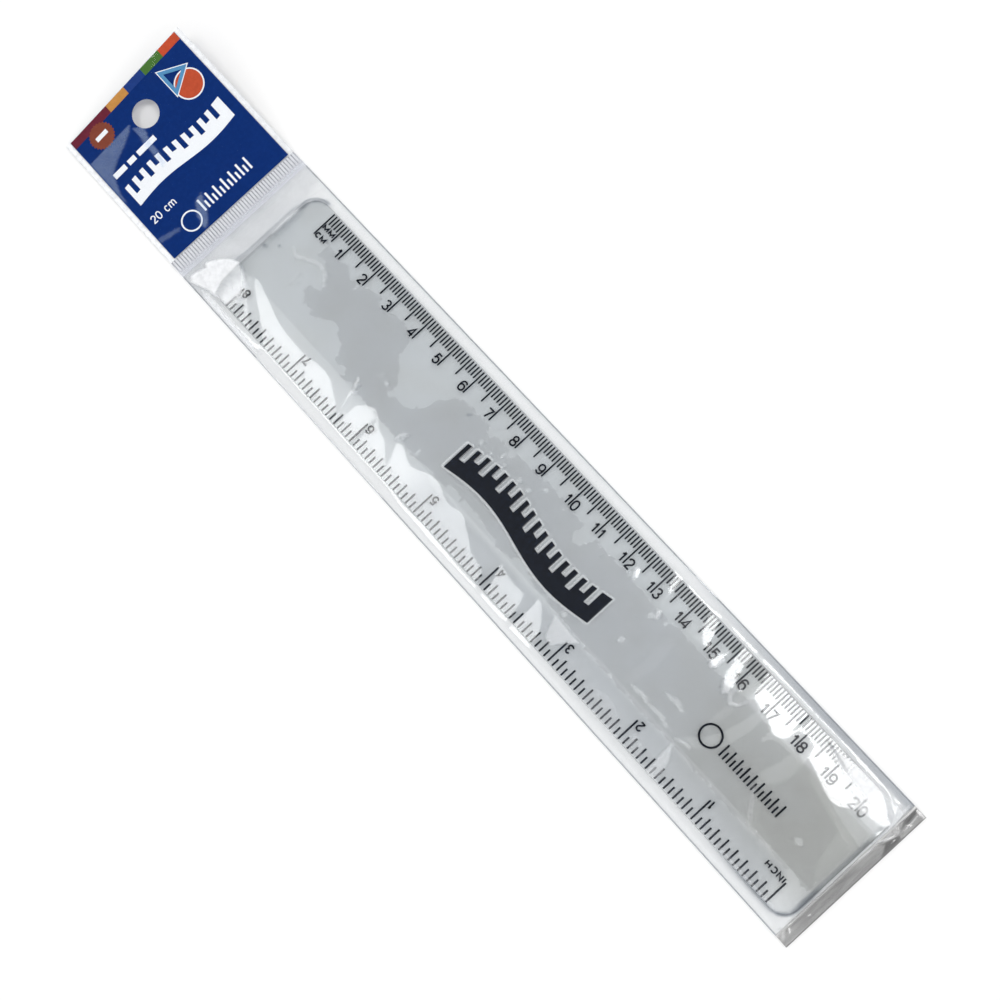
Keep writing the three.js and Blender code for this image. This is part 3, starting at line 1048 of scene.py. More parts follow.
on_blade = np.empty_like(X)
cm_rows = np.arange(middle_row, len(sheet_y))
inch_rows = np.arange(middle_row, -1, -1)
on_blade[:, cm_rows] = side_height(CM_PUFFS, cm_rows)
on_blade[:, inch_rows] = side_height(INCH_PUFFS, inch_rows)
on_blade = soften(soften(on_blade, 0.3, 0), 0.3, 1)
print("film over the blade, highest", round(float(on_blade.max()), 2))

# %% [markdown]
# ## From the blade to the welds
#
# Past the blade the film drops to the bag's edges. It drops at once, but by the puffs it bulges out first
# and drops late. Soft waves, creases and the small gathers at the crimped weld come on top. All this is
# kept as one sheet of heights, from which the film of every part is read, so the parts meet.

# %% Creases
# Creases of the front film: path, width, height
CREASES = [
    ([(-71.5, 3.2), (-67.5, 5.6), (-64, 6.6), (-61, 5.8), (-58.4, 3)], 0.5, 0.09),
    ([(-66.4, 1.6), (-65.2, -0.6), (-65.6, -2.6)], 0.5, 0.06),
    ([(134, 19), (136.4, 15.6)], 0.35, 0.3),
    ([(136.4, 14.2), (135.4, 10), (135.8, 6)], 0.35, 0.25),
    ([(-80, -20.6), (-70, -20.4), (-62, -21.2), (-56, -21)], 0.5, 0.16),
    ([(51.4, 13.2), (52.2, 11.9), (53.2, 10.2)], 0.4, 0.1),
    ([(62.8, 9.9), (63.6, 8.6), (63.9, 7.5)], 0.4, 0.1),
    ([(109, -2.6), (111.4, -5.2), (113, -7.9), (115.2, -10)], 0.5, 0.1),
    ([(90.4, -7.5), (92.6, -7.7)], 0.4, 0.08),
    ([(88.4, -9.4), (89.4, -12.4), (90.4, -16.4)], 0.9, 0.12),
    ([(90, 11), (90.4, 8), (91.6, 6.9), (93, 8), (93.4, 11)], 0.5, 0.08),
    ([(111.5, 18.4), (116, 17.8), (121.5, 16.4)], 0.5, 0.045),
    ([(128, 20.6), (133, 18.4), (136.5, 15.4)], 0.6, 0.2),
    ([(96, 20.4), (108, 20.2), (120, 20.6)], 0.45, 0.14),
    ([(130, -5), (134, -6.4)], 0.4, 0.06),
]

# %% Fall to the welds
off = np.abs(Y)
beyond = np.maximum(outside_blade(X, Y) - 0.2, 0)
to_weld = np.minimum(np.minimum(half_bag - off, weld_start - X), (X - crimp_end) * 0.9)
to_weld = np.maximum(to_weld, 0)
share = beyond / np.maximum(beyond + to_weld, 1e-6)
bulging = np.where(Y > 0, rise(X, 68, 78), np.maximum(rise(-X, 56, 60), 0.7 * rise(X, -8, 0)))
bulging = np.where(X < blade_start, rise(-Y, 5, 8), bulging)
profile = (1 - share) ** 1.5 * (1 - bulging) + (1 - share**2.2) * bulging
head_corner = 1 - 0.92 * rise(-X, 78.0, 80.5) * np.clip((-Y - 8) / 14, 0, 1)
profile = np.where(X < blade_start + 1.5, profile * head_corner, profile)
sheet = WELD_HEIGHT + (on_blade - WELD_HEIGHT) * profile


# %% Waves and gathers
def sheet_cloud(scale_x, scale_y, seed):
    return cloud(X.ravel(), Y.ravel(), scale_x, scale_y, seed).reshape(X.shape)


GATHER_PITCH, PLEAT_PITCH = 0.9, 3.1
edge_hold = rise(np.minimum(to_weld, 6), 0.1, 2.2)
broad = sheet_cloud(14.0, 9.0, 3.1)
slack = 0.02 + 0.05 * rise(-X, 60, 76) + 0.06 * rise(X, 112, 130)
sheet += edge_hold * slack * (1 + broad + 0.4 * sheet_cloud(6.0, 3.6, 8.7))
sheet += edge_hold * rise(off, 18.8, 20.2) * 0.10 * (1 + sheet_cloud(16.0, 2.2, 21.0))
for path, width, height in CREASES:
    sheet += edge_hold * crease(X, Y, path, width, height)
gathers = np.cos(2 * math.pi * Y / GATHER_PITCH) * after_crimp(X, 1.6)
fade = after_crimp(X, 4.0) * rise(X, crimp_end, crimp_end + 1)
gathers += 1.4 * np.cos(2 * math.pi * Y / PLEAT_PITCH + 1.5 * broad) * fade
sheet += 0.02 * gathers * (off < half_bag - 0.4)


# %% Heights of both films
def front_height(x, y):
    """Height of the front film's underside in millimetres, read from the sheet."""
    column = np.clip((x - sheet_x[0]) / SHEET_STEP, 0, len(sheet_x) - 1.001)
    row = np.clip((y - sheet_y[0]) / SHEET_STEP, 0, len(sheet_y) - 1.001)
    i, j = column.astype(int), row.astype(int)
    u, v = column - i, row - j
    near = sheet[i, j] * (1 - v) + sheet[i, j + 1] * v
    far = sheet[i + 1, j] * (1 - v) + sheet[i + 1, j + 1] * v
    return near * (1 - u) + far * u


def back_height(x, y):
    """The back film lies on the table, with very slight waves."""
    return BACK_BOTTOM + 0.015 * (1 + cloud(x, y, 9.0, 6.0, 2.0))


# %% [markdown]
# ## Where the film clings
#
# The film clings to most of the land. It stands off it near the head and in a lobe beside the sixth
# centimetre. Small bubbles of air are left in between. All outlines were placed over the photo.

# %% Cling outline
CLING_OUTLINE = [
    (-67, 12.6), (-65.4, 9.6), (-66.2, 8.2), (-63.4, 8), (-60.5, 6.3), (-58.6, 4), (-57.8, 2.2),
    (-59.2, 1.6), (-61.2, 1.2), (-61.5, -1), (-60, -2.2), (-58.8, -3), (-57, -3.5), (-55.6, -2.4),
    (-55.2, -4), (-53, -3.2), (-51.2, -2), (-49.8, -0.7), (-48.4, -0.9), (-46, -2), (-43.3, -3.3),
    (-42.3, -4.6), (-41.3, -5.6), (-41, -7), (-39.5, -7.6), (-38.8, -6.6), (-37.3, -6.8),
    (-36.2, -8.4), (-37.8, -9.4), (-34, -8.8), (-28, -9), (-20, -9.2), (-12, -9.4), (-6, -8.8),
    (0, -8.3), (4, -8.4), (4.4, -7), (8.6, -7), (9, -8.4), (10, -6.9), (13, -7.6), (15, -7.2),
    (18, -7.8), (20.4, -8.8), (22.4, -8), (24, -9.4), (26, -8.4), (28.4, -8.6), (30, -7.4),
    (30.8, -5.8), (32, -5.4), (33.4, -5.9), (34.6, -8), (38, -8.6), (45, -9), (55, -9.6), (66, -10),
    (80, -10.1), (95, -10.2), (112, -10.3), (116, -9.6), (118, -10.4), (121, -9.2), (124, -10.2),
    (128, -9.4), (133.6, -9.8), (134.4, -4), (134.2, 4), (128.6, 5.5), (125.7, 6.7), (121.3, 8.5),
    (118.4, 9.7), (114.4, 11.6), (112.4, 11.6), (111.8, 9.4), (108.4, 9.4), (106.6, 9.1),
    (103, 8.8), (102.3, 6.4), (101.6, 9.1), (99.5, 10), (96, 11.4), (93.6, 12), (92.4, 10.4),
    (88, 9.8), (80, 10), (72, 10), (60, 9.8), (50, 10.3), (39.2, 10.4), (39.1, 8), (38, 6.1),
    (36, 6), (34.7, 8), (35.2, 9.4), (34.6, 10.6), (28, 11.1), (22, 11.3), (15, 10.7), (10.1, 10.6),
    (9.7, 9), (8.8, 8.6), (7.8, 9.8), (5, 10.2), (3.5, 9.6), (1.8, 8.2), (0.2, 9.6), (-1, 10.6),
    (-6, 10.2), (-9.9, 10.1), (-11.4, 8.3), (-13, 6.3), (-14.8, 3.8), (-15.3, 1.2), (-17.3, -1.2),
    (-19.8, -2.8), (-21.8, -2.3), (-23.2, -3.1), (-24.6, -2.7), (-24.9, -0.5), (-26, 1.3),
    (-27.3, 3), (-29, 4), (-30.1, 6), (-30.3, 8.5), (-31.5, 10.6), (-33, 11.3), (-35, 12),
    (-39.5, 12), (-41, 11), (-44, 10.8), (-44.8, 12.3), (-46.5, 12.6), (-49, 11.6), (-51.5, 10.6),
    (-52, 9), (-52.6, 10.3), (-54.5, 10), (-56, 11.2), (-58, 12.3), (-60, 11), (-62, 11.4),
]

# %% Bubbles and specks
BUBBLE_HAZE = 0.08
# Bubbles: x, y, half length, half width
BUBBLES = [
    (1.5, 6, 0.5, 0.7), (7.9, 7.6, 0.4, 1.1), (5.1, 5.9, 0.3, 0.3), (9.8, 6.4, 0.45, 0.35),
    (15.3, 6.4, 0.6, 0.7), (18.8, 6.3, 0.5, 0.6), (22, 9.7, 0.6, 0.5), (62.5, 7.5, 0.8, 0.8),
    (62, -1.8, 0.8, 0.9), (48, -8, 0.8, 0.7), (-29.4, -0.9, 0.4, 0.4), (-27, -1.6, 0.6, 0.5),
    (66.4, 8.8, 0.4, 0.5), (-7.8, -7.5, 0.4, 0.9), (101.5, -9.9, 0.7, 0.4), (66.6, -9.9, 0.6, 0.4),
    (-13.4, -8, 0.5, 1.2), (80.2, -2.6, 1.9, 0.45), (81.8, -2.1, 1.2, 0.75), (83.6, -2.7, 1, 0.4),
    (73.4, -7.4, 1.6, 0.45), (75.2, -7.1, 1.3, 0.6), (76.6, -7.6, 0.8, 0.35),
    (79.2, -7.5, 1.5, 0.5), (81.4, -7.3, 1.8, 0.6), (84, -7.9, 1.4, 0.35), (124.6, -3.4, 1.1, 0.9),
    (28.6, 9.8, 0.35, 0.35), (90, 2.2, 0.2, 0.2), (43.4, 8.4, 0.3, 0.25),
]
# Dark specks and smudges: x, y, size, strength
SPECKS = [(-75.2, 2.3, 0.34, 1.0), (-78.3, -0.5, 0.5, 0.8), (-5.6, 8.9, 0.3, 0.5), (-6.2, 8.3, 0.3, 0.5)]

# %% [markdown]
# ## Milky film and painted glare
#
# Where film is stretched, folded or half let go it looks milky. White glare and highlights are painted on in
# the same way, as milky film. Patches are outlines with a strength, streaks are folds and painted highlight
# lines with a reach, and soft bands are places where the film clings less.

# %% Milky patches and painted glare
# Patches where stretched film has turned milky, and patches of painted glare: outline, strength
MILKY_AND_GLARE_PATCHES = [
    ([(46.6, -9.8), (55.6, -10.2), (53.2, -12.6), (51, -15.8), (48.8, -15), (47.6, -12.2)], 0.2),
    ([(64.6, -19.4), (66, -14.8), (69.5, -13.4), (73, -14), (76, -15.9), (77, -19.4)], 0.04),
    ([(80.4, -18), (81, -15), (84, -15.6), (86, -18)], 0.06),
    ([(88.2, -9.4), (90.6, -13), (91.6, -16), (91.4, -19), (88.9, -19), (88.5, -13)], 0.17),
    (
        [
            (116.4, -10), (121, -9), (124, -10.4), (128, -9.2), (134.6, -9.6), (134.8, -17.6),
            (120, -18.2), (124, -14),
        ],
        0.015,
    ),
    # Painted glare by the head end, beside the blade's inch corner and over the blade there
    (
        [
            (-79.2, -8.6), (-81, -9.3), (-83.4, -11), (-85.4, -13.5), (-86.5, -15.3), (-85.3, -16),
            (-86.4, -19), (-86.6, -20.5), (-85.5, -21.6), (-82.3, -20.4), (-79.5, -19.4),
            (-77.6, -19.2), (-79.2, -15),
        ],
        0.7,
    ),
    (
        [
            (-79.4, -8.7), (-77, -9.7), (-74.5, -11.6), (-72.5, -14), (-73.5, -18.8),
            (-77.6, -19.2), (-79.2, -15),
        ],
        0.3,
    ),
    (
        [
            (-81.8, -20.8), (-79, -20.4), (-70, -20.5), (-60, -20.9), (-57.5, -21.5), (-66, -21.7),
            (-80, -21.6),
        ],
        0.3,
    ),
    # Painted glare at the foot on the centimetre side, round the star
    (
        [
            (113, 17.6), (119, 15.6), (124, 15.2), (133, 14.6), (135.9, 14.4), (136.4, 9.0),
            (138.4, 14.5), (138.5, 15.2), (136.6, 17.6), (135.5, 21.4), (135.3, 19.2), (124, 19.2),
        ],
        0.3,
    ),
    ([(126, 10.7), (134.6, 10.7), (134.4, 14.4), (126, 14.4)], 0.1),
    ([(119, 10.2), (124, 8.2), (129, 7), (134.7, 6.2), (134.8, 10.5), (126, 10.6)], 0.07),
    ([(84.8, 12), (86, 9), (87.6, 7.4), (88.6, 8.4), (87.6, 12)], 0.3),
    ([(80, 10.4), (81.2, 9.2), (82.2, 10.6), (82.6, 13), (81.2, 13.6)], 0.3),
]

# %% Pale lines, painted highlights and bands
# Folds and streaks that show as pale lines, many of them painted highlights along creases and edges: path,
# reach, strength
PALE_AND_HIGHLIGHT_LINES = [
    (
        [
            (-73.4, 5.2), (-71.6, 4.4), (-69.8, 3.6), (-67, 5.4), (-63.6, 6.8), (-60.8, 6.2),
            (-58.4, 3.4),
        ],
        0.45,
        0.1,
    ),
    ([(-66, 2.2), (-64.8, -0.6), (-65.2, -3)], 0.4, 0.05),
    ([(-33.8, -6.3), (-33.1, -6.1), (-32.5, -7.4), (-31.4, -9.8)], 0.35, 0.3),
    ([(-14.4, -9.8), (-14.3, -8), (-13.5, -6.7), (-12.7, -6.4)], 0.35, 0.25),
    ([(107.5, -1.6), (109.6, -3.6), (112, -6.8), (114.6, -10)], 0.5, 0.07),
    ([(-79.4, 2.5), (-79.5, 8), (-79.1, 13)], 0.5, 0.22),
    ([(51.4, 13.2), (52.2, 11.9), (53.2, 10.2)], 0.38, 0.35),
    ([(62.8, 9.9), (63.6, 8.6), (63.9, 7.5)], 0.38, 0.35),
    ([(88.9, 11), (89.3, 8.2), (90.6, 7), (92.2, 8), (93.2, 10.6)], 0.4, 0.2),
    ([(87.6, -8.6), (90.4, -7.5), (92.4, -7.7)], 0.35, 0.16),
    ([(82, 19.8), (100, 19.9), (118, 20.1), (134.6, 19.8)], 0.4, 0.2),
    ([(136.25, 9.4), (136.25, 0), (136.25, -18.4)], 0.2, 0.2),
    ([(112, -18.35), (124, -18.35), (132, -18.2)], 0.3, 0.14),
    ([(136, 16.8), (138.6, 15)], 0.25, 0.5),
    ([(135.6, 14.5), (138.6, 14.8)], 0.25, 0.5),
    ([(138.6, 14.6), (137.5, 11.6), (136.4, 9.0)], 0.25, 0.6),
    ([(138.8, 15.4), (138.9, 18.6), (138.5, 22)], 0.22, 0.4),
    ([(136.6, -20), (138.6, -21.9)], 0.5, 0.4),
]
# Soft pale bands where the film half lets go: path, reach, strength
PALE_BANDS = [
    ([(97.6, 14), (97.2, 6), (95.8, 0), (93.6, -4), (88, -9)], 1.7, 0.85),
    ([(110.6, 14), (110.6, 6), (109, 1), (109.4, -3)], 2.2, 0.75),
    ([(91.2, 12), (91.4, 4), (90.4, -3)], 1.0, 0.5),
    ([(135, 12), (131.4, 6), (132.4, 0), (134.6, -8)], 2.6, 0.6),
    ([(114, 10), (124, 8.2), (134, 5)], 1.8, 0.6),
    ([(70, 9), (71, 0), (70, -9)], 1.6, 0.22),
    ([(110, -1), (113.4, -8), (122, -9.6)], 1.4, 0.25),
]


# %% Cling, hold, milkiness and painted glare
def motif_edge():
    """The wavy ruler's outline, round which the film can't lie flat."""
    pitch = WAVE_LENGTH / NOTCHES
    top = [(0.0, WAVE_HEIGHT / 2)]
    for i in range(NOTCHES - 1):
        floor_y = WAVE_HEIGHT * (0.5 - (SHALLOW_NOTCH if i % 2 else DEEP_NOTCH))
        left, right = (i + 0.5) * pitch, (i + 1) * pitch
        top += [(left, WAVE_HEIGHT / 2), (left, floor_y), (right, floor_y), (right, WAVE_HEIGHT / 2)]
    top.append((WAVE_LENGTH, WAVE_HEIGHT / 2))
    bottom = [(x, -WAVE_HEIGHT / 2) for x in np.linspace(WAVE_LENGTH, 0, 24)]
    swing = [WAVE_SWING * math.sin(2 * math.pi * x / WAVE_LENGTH) for x, _ in top + bottom]
    return [(WAVE_FROM + x, WAVE_Y + y + up) for (x, y), up in zip(top + bottom, swing)]


MOTIF_AIR = 0.5
MOTIF_EDGE = motif_edge()


def cling_field(x, y):
    """Above zero where the film clings to the blade."""
    field = distance_inside(x, y, CLING_OUTLINE)
    field = np.minimum(field, (-MOTIF_AIR - distance_inside(x, y, MOTIF_EDGE)) * 2.5)
    for bx, by, half_x, half_y in BUBBLES:
        away = np.hypot((x - bx) / half_x, (y - by) / half_y) - 1
        field = np.minimum(field, away * min(half_x, half_y) * 2.2)
    return np.clip(field, -3, 3)


def hold_share(x, y):
    """How firmly the film clings there: less on the pale bands."""
    hold = np.ones(len(x))
    for path, reach, strength in PALE_BANDS:
        hold = hold * (1 - strength * rise(crease(x, y, path, reach, 1.0), 0.25, 0.6))
    return hold


def milkiness(x, y):
    """How milky the stretched and folded film is at each place, with the painted glare and painted highlight
    lines in it.
    """
    haze_and_glare = np.zeros(len(x))
    for outline, strength in MILKY_AND_GLARE_PATCHES:
        haze_and_glare = np.maximum(haze_and_glare, strength * rise(distance_inside(x, y, outline), -0.35, 0.35))
    for path, reach, strength in PALE_AND_HIGHLIGHT_LINES:
        haze_and_glare = np.maximum(haze_and_glare, crease(x, y, path, reach, strength))
    for bx, by, half_x, half_y in BUBBLES:
        away = np.hypot((x - bx) / half_x, (y - by) / half_y)
        haze_and_glare = np.maximum(haze_and_glare, BUBBLE_HAZE * rise(-away, -1.2, -0.7))
    return haze_and_glare

# %% Shade at the blade's ends
def head_outline(x, y, outside):
    """Shade of the blade's end by the head, seen as two soft dark lines with a paler one between."""
    head_end = rise(-x, 74.0, 76.0)
    corner = 0.95 * bell(outside - 0.4, 0.28) * rise(y, 11, 14)
    side = 0.65 * bell(outside - 1.0, 0.35) * rise(y, -12, -8) * rise(-y, -14, -11)
    inner = 0.27 * bell(outside + 1.05, 0.45) * rise(y, -2, 4) * rise(-y, -15, -9)
    soft = 0.12 * bell(outside, 1.2) * rise(y, -10, -6)
    rims = 0.4 * bell(outside, 0.25) + 0.25 * bell(outside + 0.85, 0.25)
    return head_end * (corner + side + inner + soft + rims * rise(-y, 7, 9))


def foot_outline(x, y, outside):
    """Shade of the blade's end by the foot: a crisp band, and a thin dark line round the inch corner."""
    across = rise(x, 134.5, 134.9) * rise(-x, -136.05, -135.75)
    band = 0.42 * rise(-y, -9.2, -8.4) * rise(y, -15, -12) + 0.2 * rise(y, 8.4, 9.2) * rise(-y, -15, -13.5)
    rim = bell(outside + 0.1, 0.34) * rise(x, 106, 128) * rise(-y, 6, 12)
    return across * band + rim


# %% Haze, painted glare and shade of the film
def film_shares(x, y):
    """Haze with its painted glare, and shade, of the film at each place."""
    off = np.abs(y)
    outside = outside_blade(x, y)
    milk_glare = milkiness(x, y)
    bare = 1 - np.minimum(1, 2 * milk_glare)
    haze_and_glare = 0.002 + 0.003 * rise(outside, 0.0, 0.8)
    haze_and_glare = haze_and_glare + 0.03 * rise(-x, 79.6, 81.0) + 0.03 * rise(-x, 84.5, 87.8) + milk_glare
    shade = 0.85 * rise(off, half_bag - 0.30, half_bag - 0.2)
    # The clear margin beside the centimetres darkens towards the foot, and the inch bevel is a little grey
    margin_foot = rise(x, 55, 112) * (1 - 0.2 * rise(x, 112, 122))
    shade = shade + 0.5 * rise(off, 20.1, 20.8) * margin_foot * (y > 0)
    bevel_band = rise(-y, 9.4, 11.2) * (1 - rise(-y, 18.5, 18.9))
    shade = shade + 0.17 * bevel_band * rise(x, -8, 2) * (1 - rise(x, 126, 130)) * bare
    neck = rise(outside, -0.2, 0.8) * rise(-x - 0.4 * np.maximum(y - 14, 0), 79.2, 80.4)
    shade = shade + 0.14 * neck * (1 - 0.4 * rise(y, 6, 16)) * bare
    shade = shade + head_outline(x, y, outside) + foot_outline(x, y, outside)
    for spot_x, spot_y, size, strength in SPECKS:
        shade = shade + strength * np.exp(-(((x - spot_x) ** 2 + (y - spot_y) ** 2) / size**2))
    streaks = 0.5 + 0.5 * np.cos(2 * math.pi * y / GATHER_PITCH)
    shade = shade + 0.12 * streaks * after_crimp(x, 1.2)
    return haze_and_glare, np.clip(shade, 0, 1)


# %% [markdown]
# ## Front and back film
#
# Each film is made in six parts, one for each part of the blade, and a neck between the blade's end and the
# crimped weld. A part is a fine grid lifted to the film's height and thickened a little. Its corners carry
# the haze with its painted glare, the shade and the cling.

# %% One piece of film
FRONT_STEP, BACK_STEP = 0.36, 1.0
HALO_REACH = 0.6


def side_rows(count):
    """Row places across the bag, closer together by the edges."""
    fine = [half_bag, half_bag - 0.12, half_bag - 0.25, half_bag - 0.42, half_bag - 0.7]
    inner = list(np.linspace(-(half_bag - 1.05), half_bag - 1.05, count))
    return [-v for v in fine] + inner + fine[::-1]


def give_no_cling(piece):
    count = len(piece.data.vertices)
    give(piece, "cling", np.full(count, -2.0))
    give(piece, "hold", np.zeros(count))


def film_piece(name, x_from, x_to, height, material, step, cuts):
    count = max(2, int(round((x_to - x_from) / step)))
    rows = side_rows(int(2 * half_bag / step))
    piece = grid(name, np.linspace(x_from, x_to, count + 1), rows, height)
    points = corners_of(piece)
    x, y = points[:, 0], points[:, 1]
    haze_and_glare, shade = film_shares(x, y)
    give(piece, "haze_and_glare", haze_and_glare)
    give(piece, "shade", shade)
    if material is front_film:
        from_halo = np.abs(-distance_inside(x, y, MOTIF_EDGE) - 0.25)
        give(piece, "cling", cling_field(x, y))
        give(piece, "hold", hold_share(x, y))
        give(piece, "halo", np.clip(1 - from_halo / HALO_REACH, 0, 1))
    else:
        give_no_cling(piece)
    paint(piece, material)
    apply_modifier(piece, "SOLIDIFY", thickness=FILM * MM, offset=1)
    smooth(piece, 40)
    show_cut(piece, cuts)
    remember_place(piece)
    return piece


# %% Films
NECK_END = blade_start - 0.3
films = (("front", front_height, front_film, FRONT_STEP), ("back", back_height, back_film, BACK_STEP))
for side, height, material, step in films:
    for n, starts, ends, _, _ in parts:
        x_from = NECK_END if n == 1 else starts
        x_to = weld_start if n == SPANS - 1 else ends
        cuts = [x_from] + ([x_to] if n < SPANS - 1 else [])
        piece = film_piece(f"bag_{side}_part_{n}", x_from, x_to, height, material, step, cuts)
        bends(piece)
        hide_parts(*spans_of(f"bag_{side}_span", n))
    neck = film_piece(f"bag_{side}_neck", crimp_end, NECK_END, height, material, step, [NECK_END])
    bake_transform(neck)
print("film pieces made, highest", round(float(sheet.max()), 2))

# %% [markdown]
# ## The welds
#
# The foot of the bag is a flat weld with a raised bead along its inner side, and creases that meet in a star
# near one corner; a painted highlight runs along the bead, and the folds by the star carry painted shade.
# The crimped weld under the header has some fifty small ridges. Heat turns the film white on the ridges, and
# the hollows between them are darkened with painted shade.

# %% Folds of the foot weld
# Creases: path, width, height
FOOT_CREASES = [
    ([(136.4, 15.6), (139.9, 14.4)], 0.4, 0.7),
    ([(136.4, 21.6), (137.2, 18.0), (138.6, 15.0)], 0.4, 0.6),
    ([(137.2, 15.0), (139.6, 18.0)], 0.35, 0.5),
    ([(138.4, 14.8), (137.6, 11.0), (136.8, 7.0)], 0.4, 0.55),
    ([(139.2, 13.8), (138.6, 4.0), (139.0, -6.0)], 0.35, 0.25),
    ([(137.0, -19.0), (140.0, -20.5)], 0.5, 0.3),
    ([(137.0, -18.4), (138.8, -13.0)], 0.6, 0.2),
]
# Folds of the foot by the star that carry painted shade: outlines
FOLD_SHADE_OUTLINES = [
    [(136.5, 19.4), (138.3, 15.8), (138.5, 18.4), (138.1, 22), (136.5, 22)],
    [(138.9, 14.6), (140, 15), (140, 8), (138.4, 11), (137.4, 9.6)],
]


def foot_height(x, y):
    wave = 0.06 * (1 + cloud(x, y, 6.0, 9.0, 4.4)) + 0.006 * (1 + cloud(x, y, 1.2, 5.0, 6.6))
    z = BACK_BOTTOM + wave * rise(half_bag - np.abs(y), 0, 1)
    z += 0.28 * bell(x - weld_start - 0.25, 0.28)
    for path, width, height in FOOT_CREASES:
        z += crease(x, y, path, width, height)
    return z


# %% Foot weld
WELD_FILM = 0.16


def foot_material():
    n = material_nodes("foot_weld")
    place = n.attribute("place", "Vector")
    stretched = n.add("ShaderNodeMapping", {"Vector": place, "Scale": (0.9, 0.12, 1.0)}).outputs[0]
    tint = n.colour(n.ramp(n.noise(stretched, 1.0, 3.0), 0.3, 0.7), grey(0.72), grey(0.83))
    tint = n.colour(n.attribute("shade"), tint, grey(0.52))
    body = n.blend(n.attribute("haze_and_glare"), n.clear(tint), n.solid(grey(0.85), 0.45))
    return n.finish_glossy(body, 0.05, 0.12, n.bump(n.noise(place, 0.9, 3.0), 0.00003))


foot_weld = grid("foot_weld", np.linspace(weld_start, bag_end, 25), side_rows(94), foot_height)
points = corners_of(foot_weld)
x, y = points[:, 0], points[:, 1]
# A painted highlight along the bead, brighter towards the centimetre side
bead_highlight = (0.25 + 0.4 * rise(y, 0, 6)) * bell(x - weld_start - 0.2, 0.2)
give(foot_weld, "haze_and_glare", 0.02 + np.maximum(bead_highlight, milkiness(x, y)))
dark = np.zeros(len(x))
for outline in FOLD_SHADE_OUTLINES:
    dark = np.maximum(dark, rise(distance_inside(x, y, outline), -0.2, 0.3))
# Painted shade darkens the weld in its folds by the star; it is also darker near its middle and along its
# cut edge
dark = np.maximum(0.75 * dark, 0.17 * bell(y + 3, 7))
give(foot_weld, "shade", np.maximum(dark, 0.8 * rise(x, bag_end - 0.3, bag_end - 0.15)))
paint(foot_weld, foot_material())
apply_modifier(foot_weld, "SOLIDIFY", thickness=WELD_FILM * MM, offset=1)
smooth(foot_weld, 40)
remember_place(foot_weld)
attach(foot_weld, "span_7")
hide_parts("foot_seal")
print("foot weld:", len(foot_weld.data.polygons), "faces")

# %% Crimped weld
CRIMP_PITCH = 0.9
CRIMP_FILM = 0.2
CRIMP_TINT = (0.955, 0.965, 0.985, 1)
CRIMP_HOLLOW_SHADE = (0.60, 0.61, 0.635, 1)
CRIMP_WHITE = (0.82, 0.83, 0.87, 1)


def ridge(y):
    """0 in the hollows and 1 on the ridges, with flat-topped ridges."""
    wave = 0.5 + 0.5 * np.cos(2 * math.pi * y / CRIMP_PITCH)
    return rise(wave, 0.25, 0.75)


def crimp_height(x, y):
    fade = rise(x, crimp_start, crimp_start + 0.5) * rise(crimp_end - x, 0.0, 0.5)
    return 0.03 + 0.18 * ridge(y) * fade + 0.03 * (1 + cloud(x, y, 5.0, 4.0, 9.0))


def crimp_material():
    n = material_nodes("crimped_weld")
    patchy = n.ramp(n.noise(n.attribute("place", "Vector"), 0.5, 3.0), 0.3, 0.7, 0.7, 1.0)
    tint = n.colour(n.math("MULTIPLY", n.attribute("shade"), patchy), CRIMP_TINT, CRIMP_HOLLOW_SHADE)
    body = n.blend(n.attribute("haze_and_glare"), n.clear(tint), n.solid(CRIMP_WHITE, 0.4))
    return n.finish_glossy(body, 0.04, 0.2)


ridge_rows = np.linspace(-half_bag, half_bag, 50 * 8 + 1)
crimp = grid("crimped_weld", np.linspace(crimp_start, crimp_end, 15), ridge_rows, crimp_height)
points = corners_of(crimp)
inward, on_ridge = crimp_end - points[:, 0], ridge(points[:, 1])
fade = 0.08 + 0.92 * rise(inward, 0.3, 3.8)
give(crimp, "haze_and_glare", 0.08 + 0.12 * rise(inward, 0.0, 2.0) + 0.4 * on_ridge * fade)
# Painted shade in the hollows between the ridges; the weld is also a little darker over its last millimetre
# by the neck
give(crimp, "shade", (1 - on_ridge) * fade + 0.1 * rise(-inward, -1.6, -0.8))
paint(crimp, crimp_material())
apply_modifier(crimp, "SOLIDIFY", thickness=CRIMP_FILM * MM, offset=1)
smooth(crimp, 50)
remember_place(crimp)
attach(crimp, "header")
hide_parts("crimp_seal")
print("crimped weld:", len(crimp.data.polygons), "faces")

# %% [markdown]
# ## The header
#
# The header is a blue print between two clear films, punched through with a round hang hole. It is cut
# flat, with the hole taken out by a Boolean, and then curled: its corner on the centimetre side lifts off
# the table. The colours and figures of the print are thin layers of ink on the blue.

# %% Curl and painted sheen
HOLE_X, HOLE_RADIUS = header_top + 10.4, 4.0
HEADER_CREASES = [
    ([(-126.5, -3.5), (-122, -11), (-117, -20.5)], 1.4, 0.07),
    ([(-129.5, -5), (-130.5, -13), (-130, -21)], 1.6, 0.05),
    ([(-103, -3), (-98, -6), (-95, -12)], 1.3, 0.05),
]
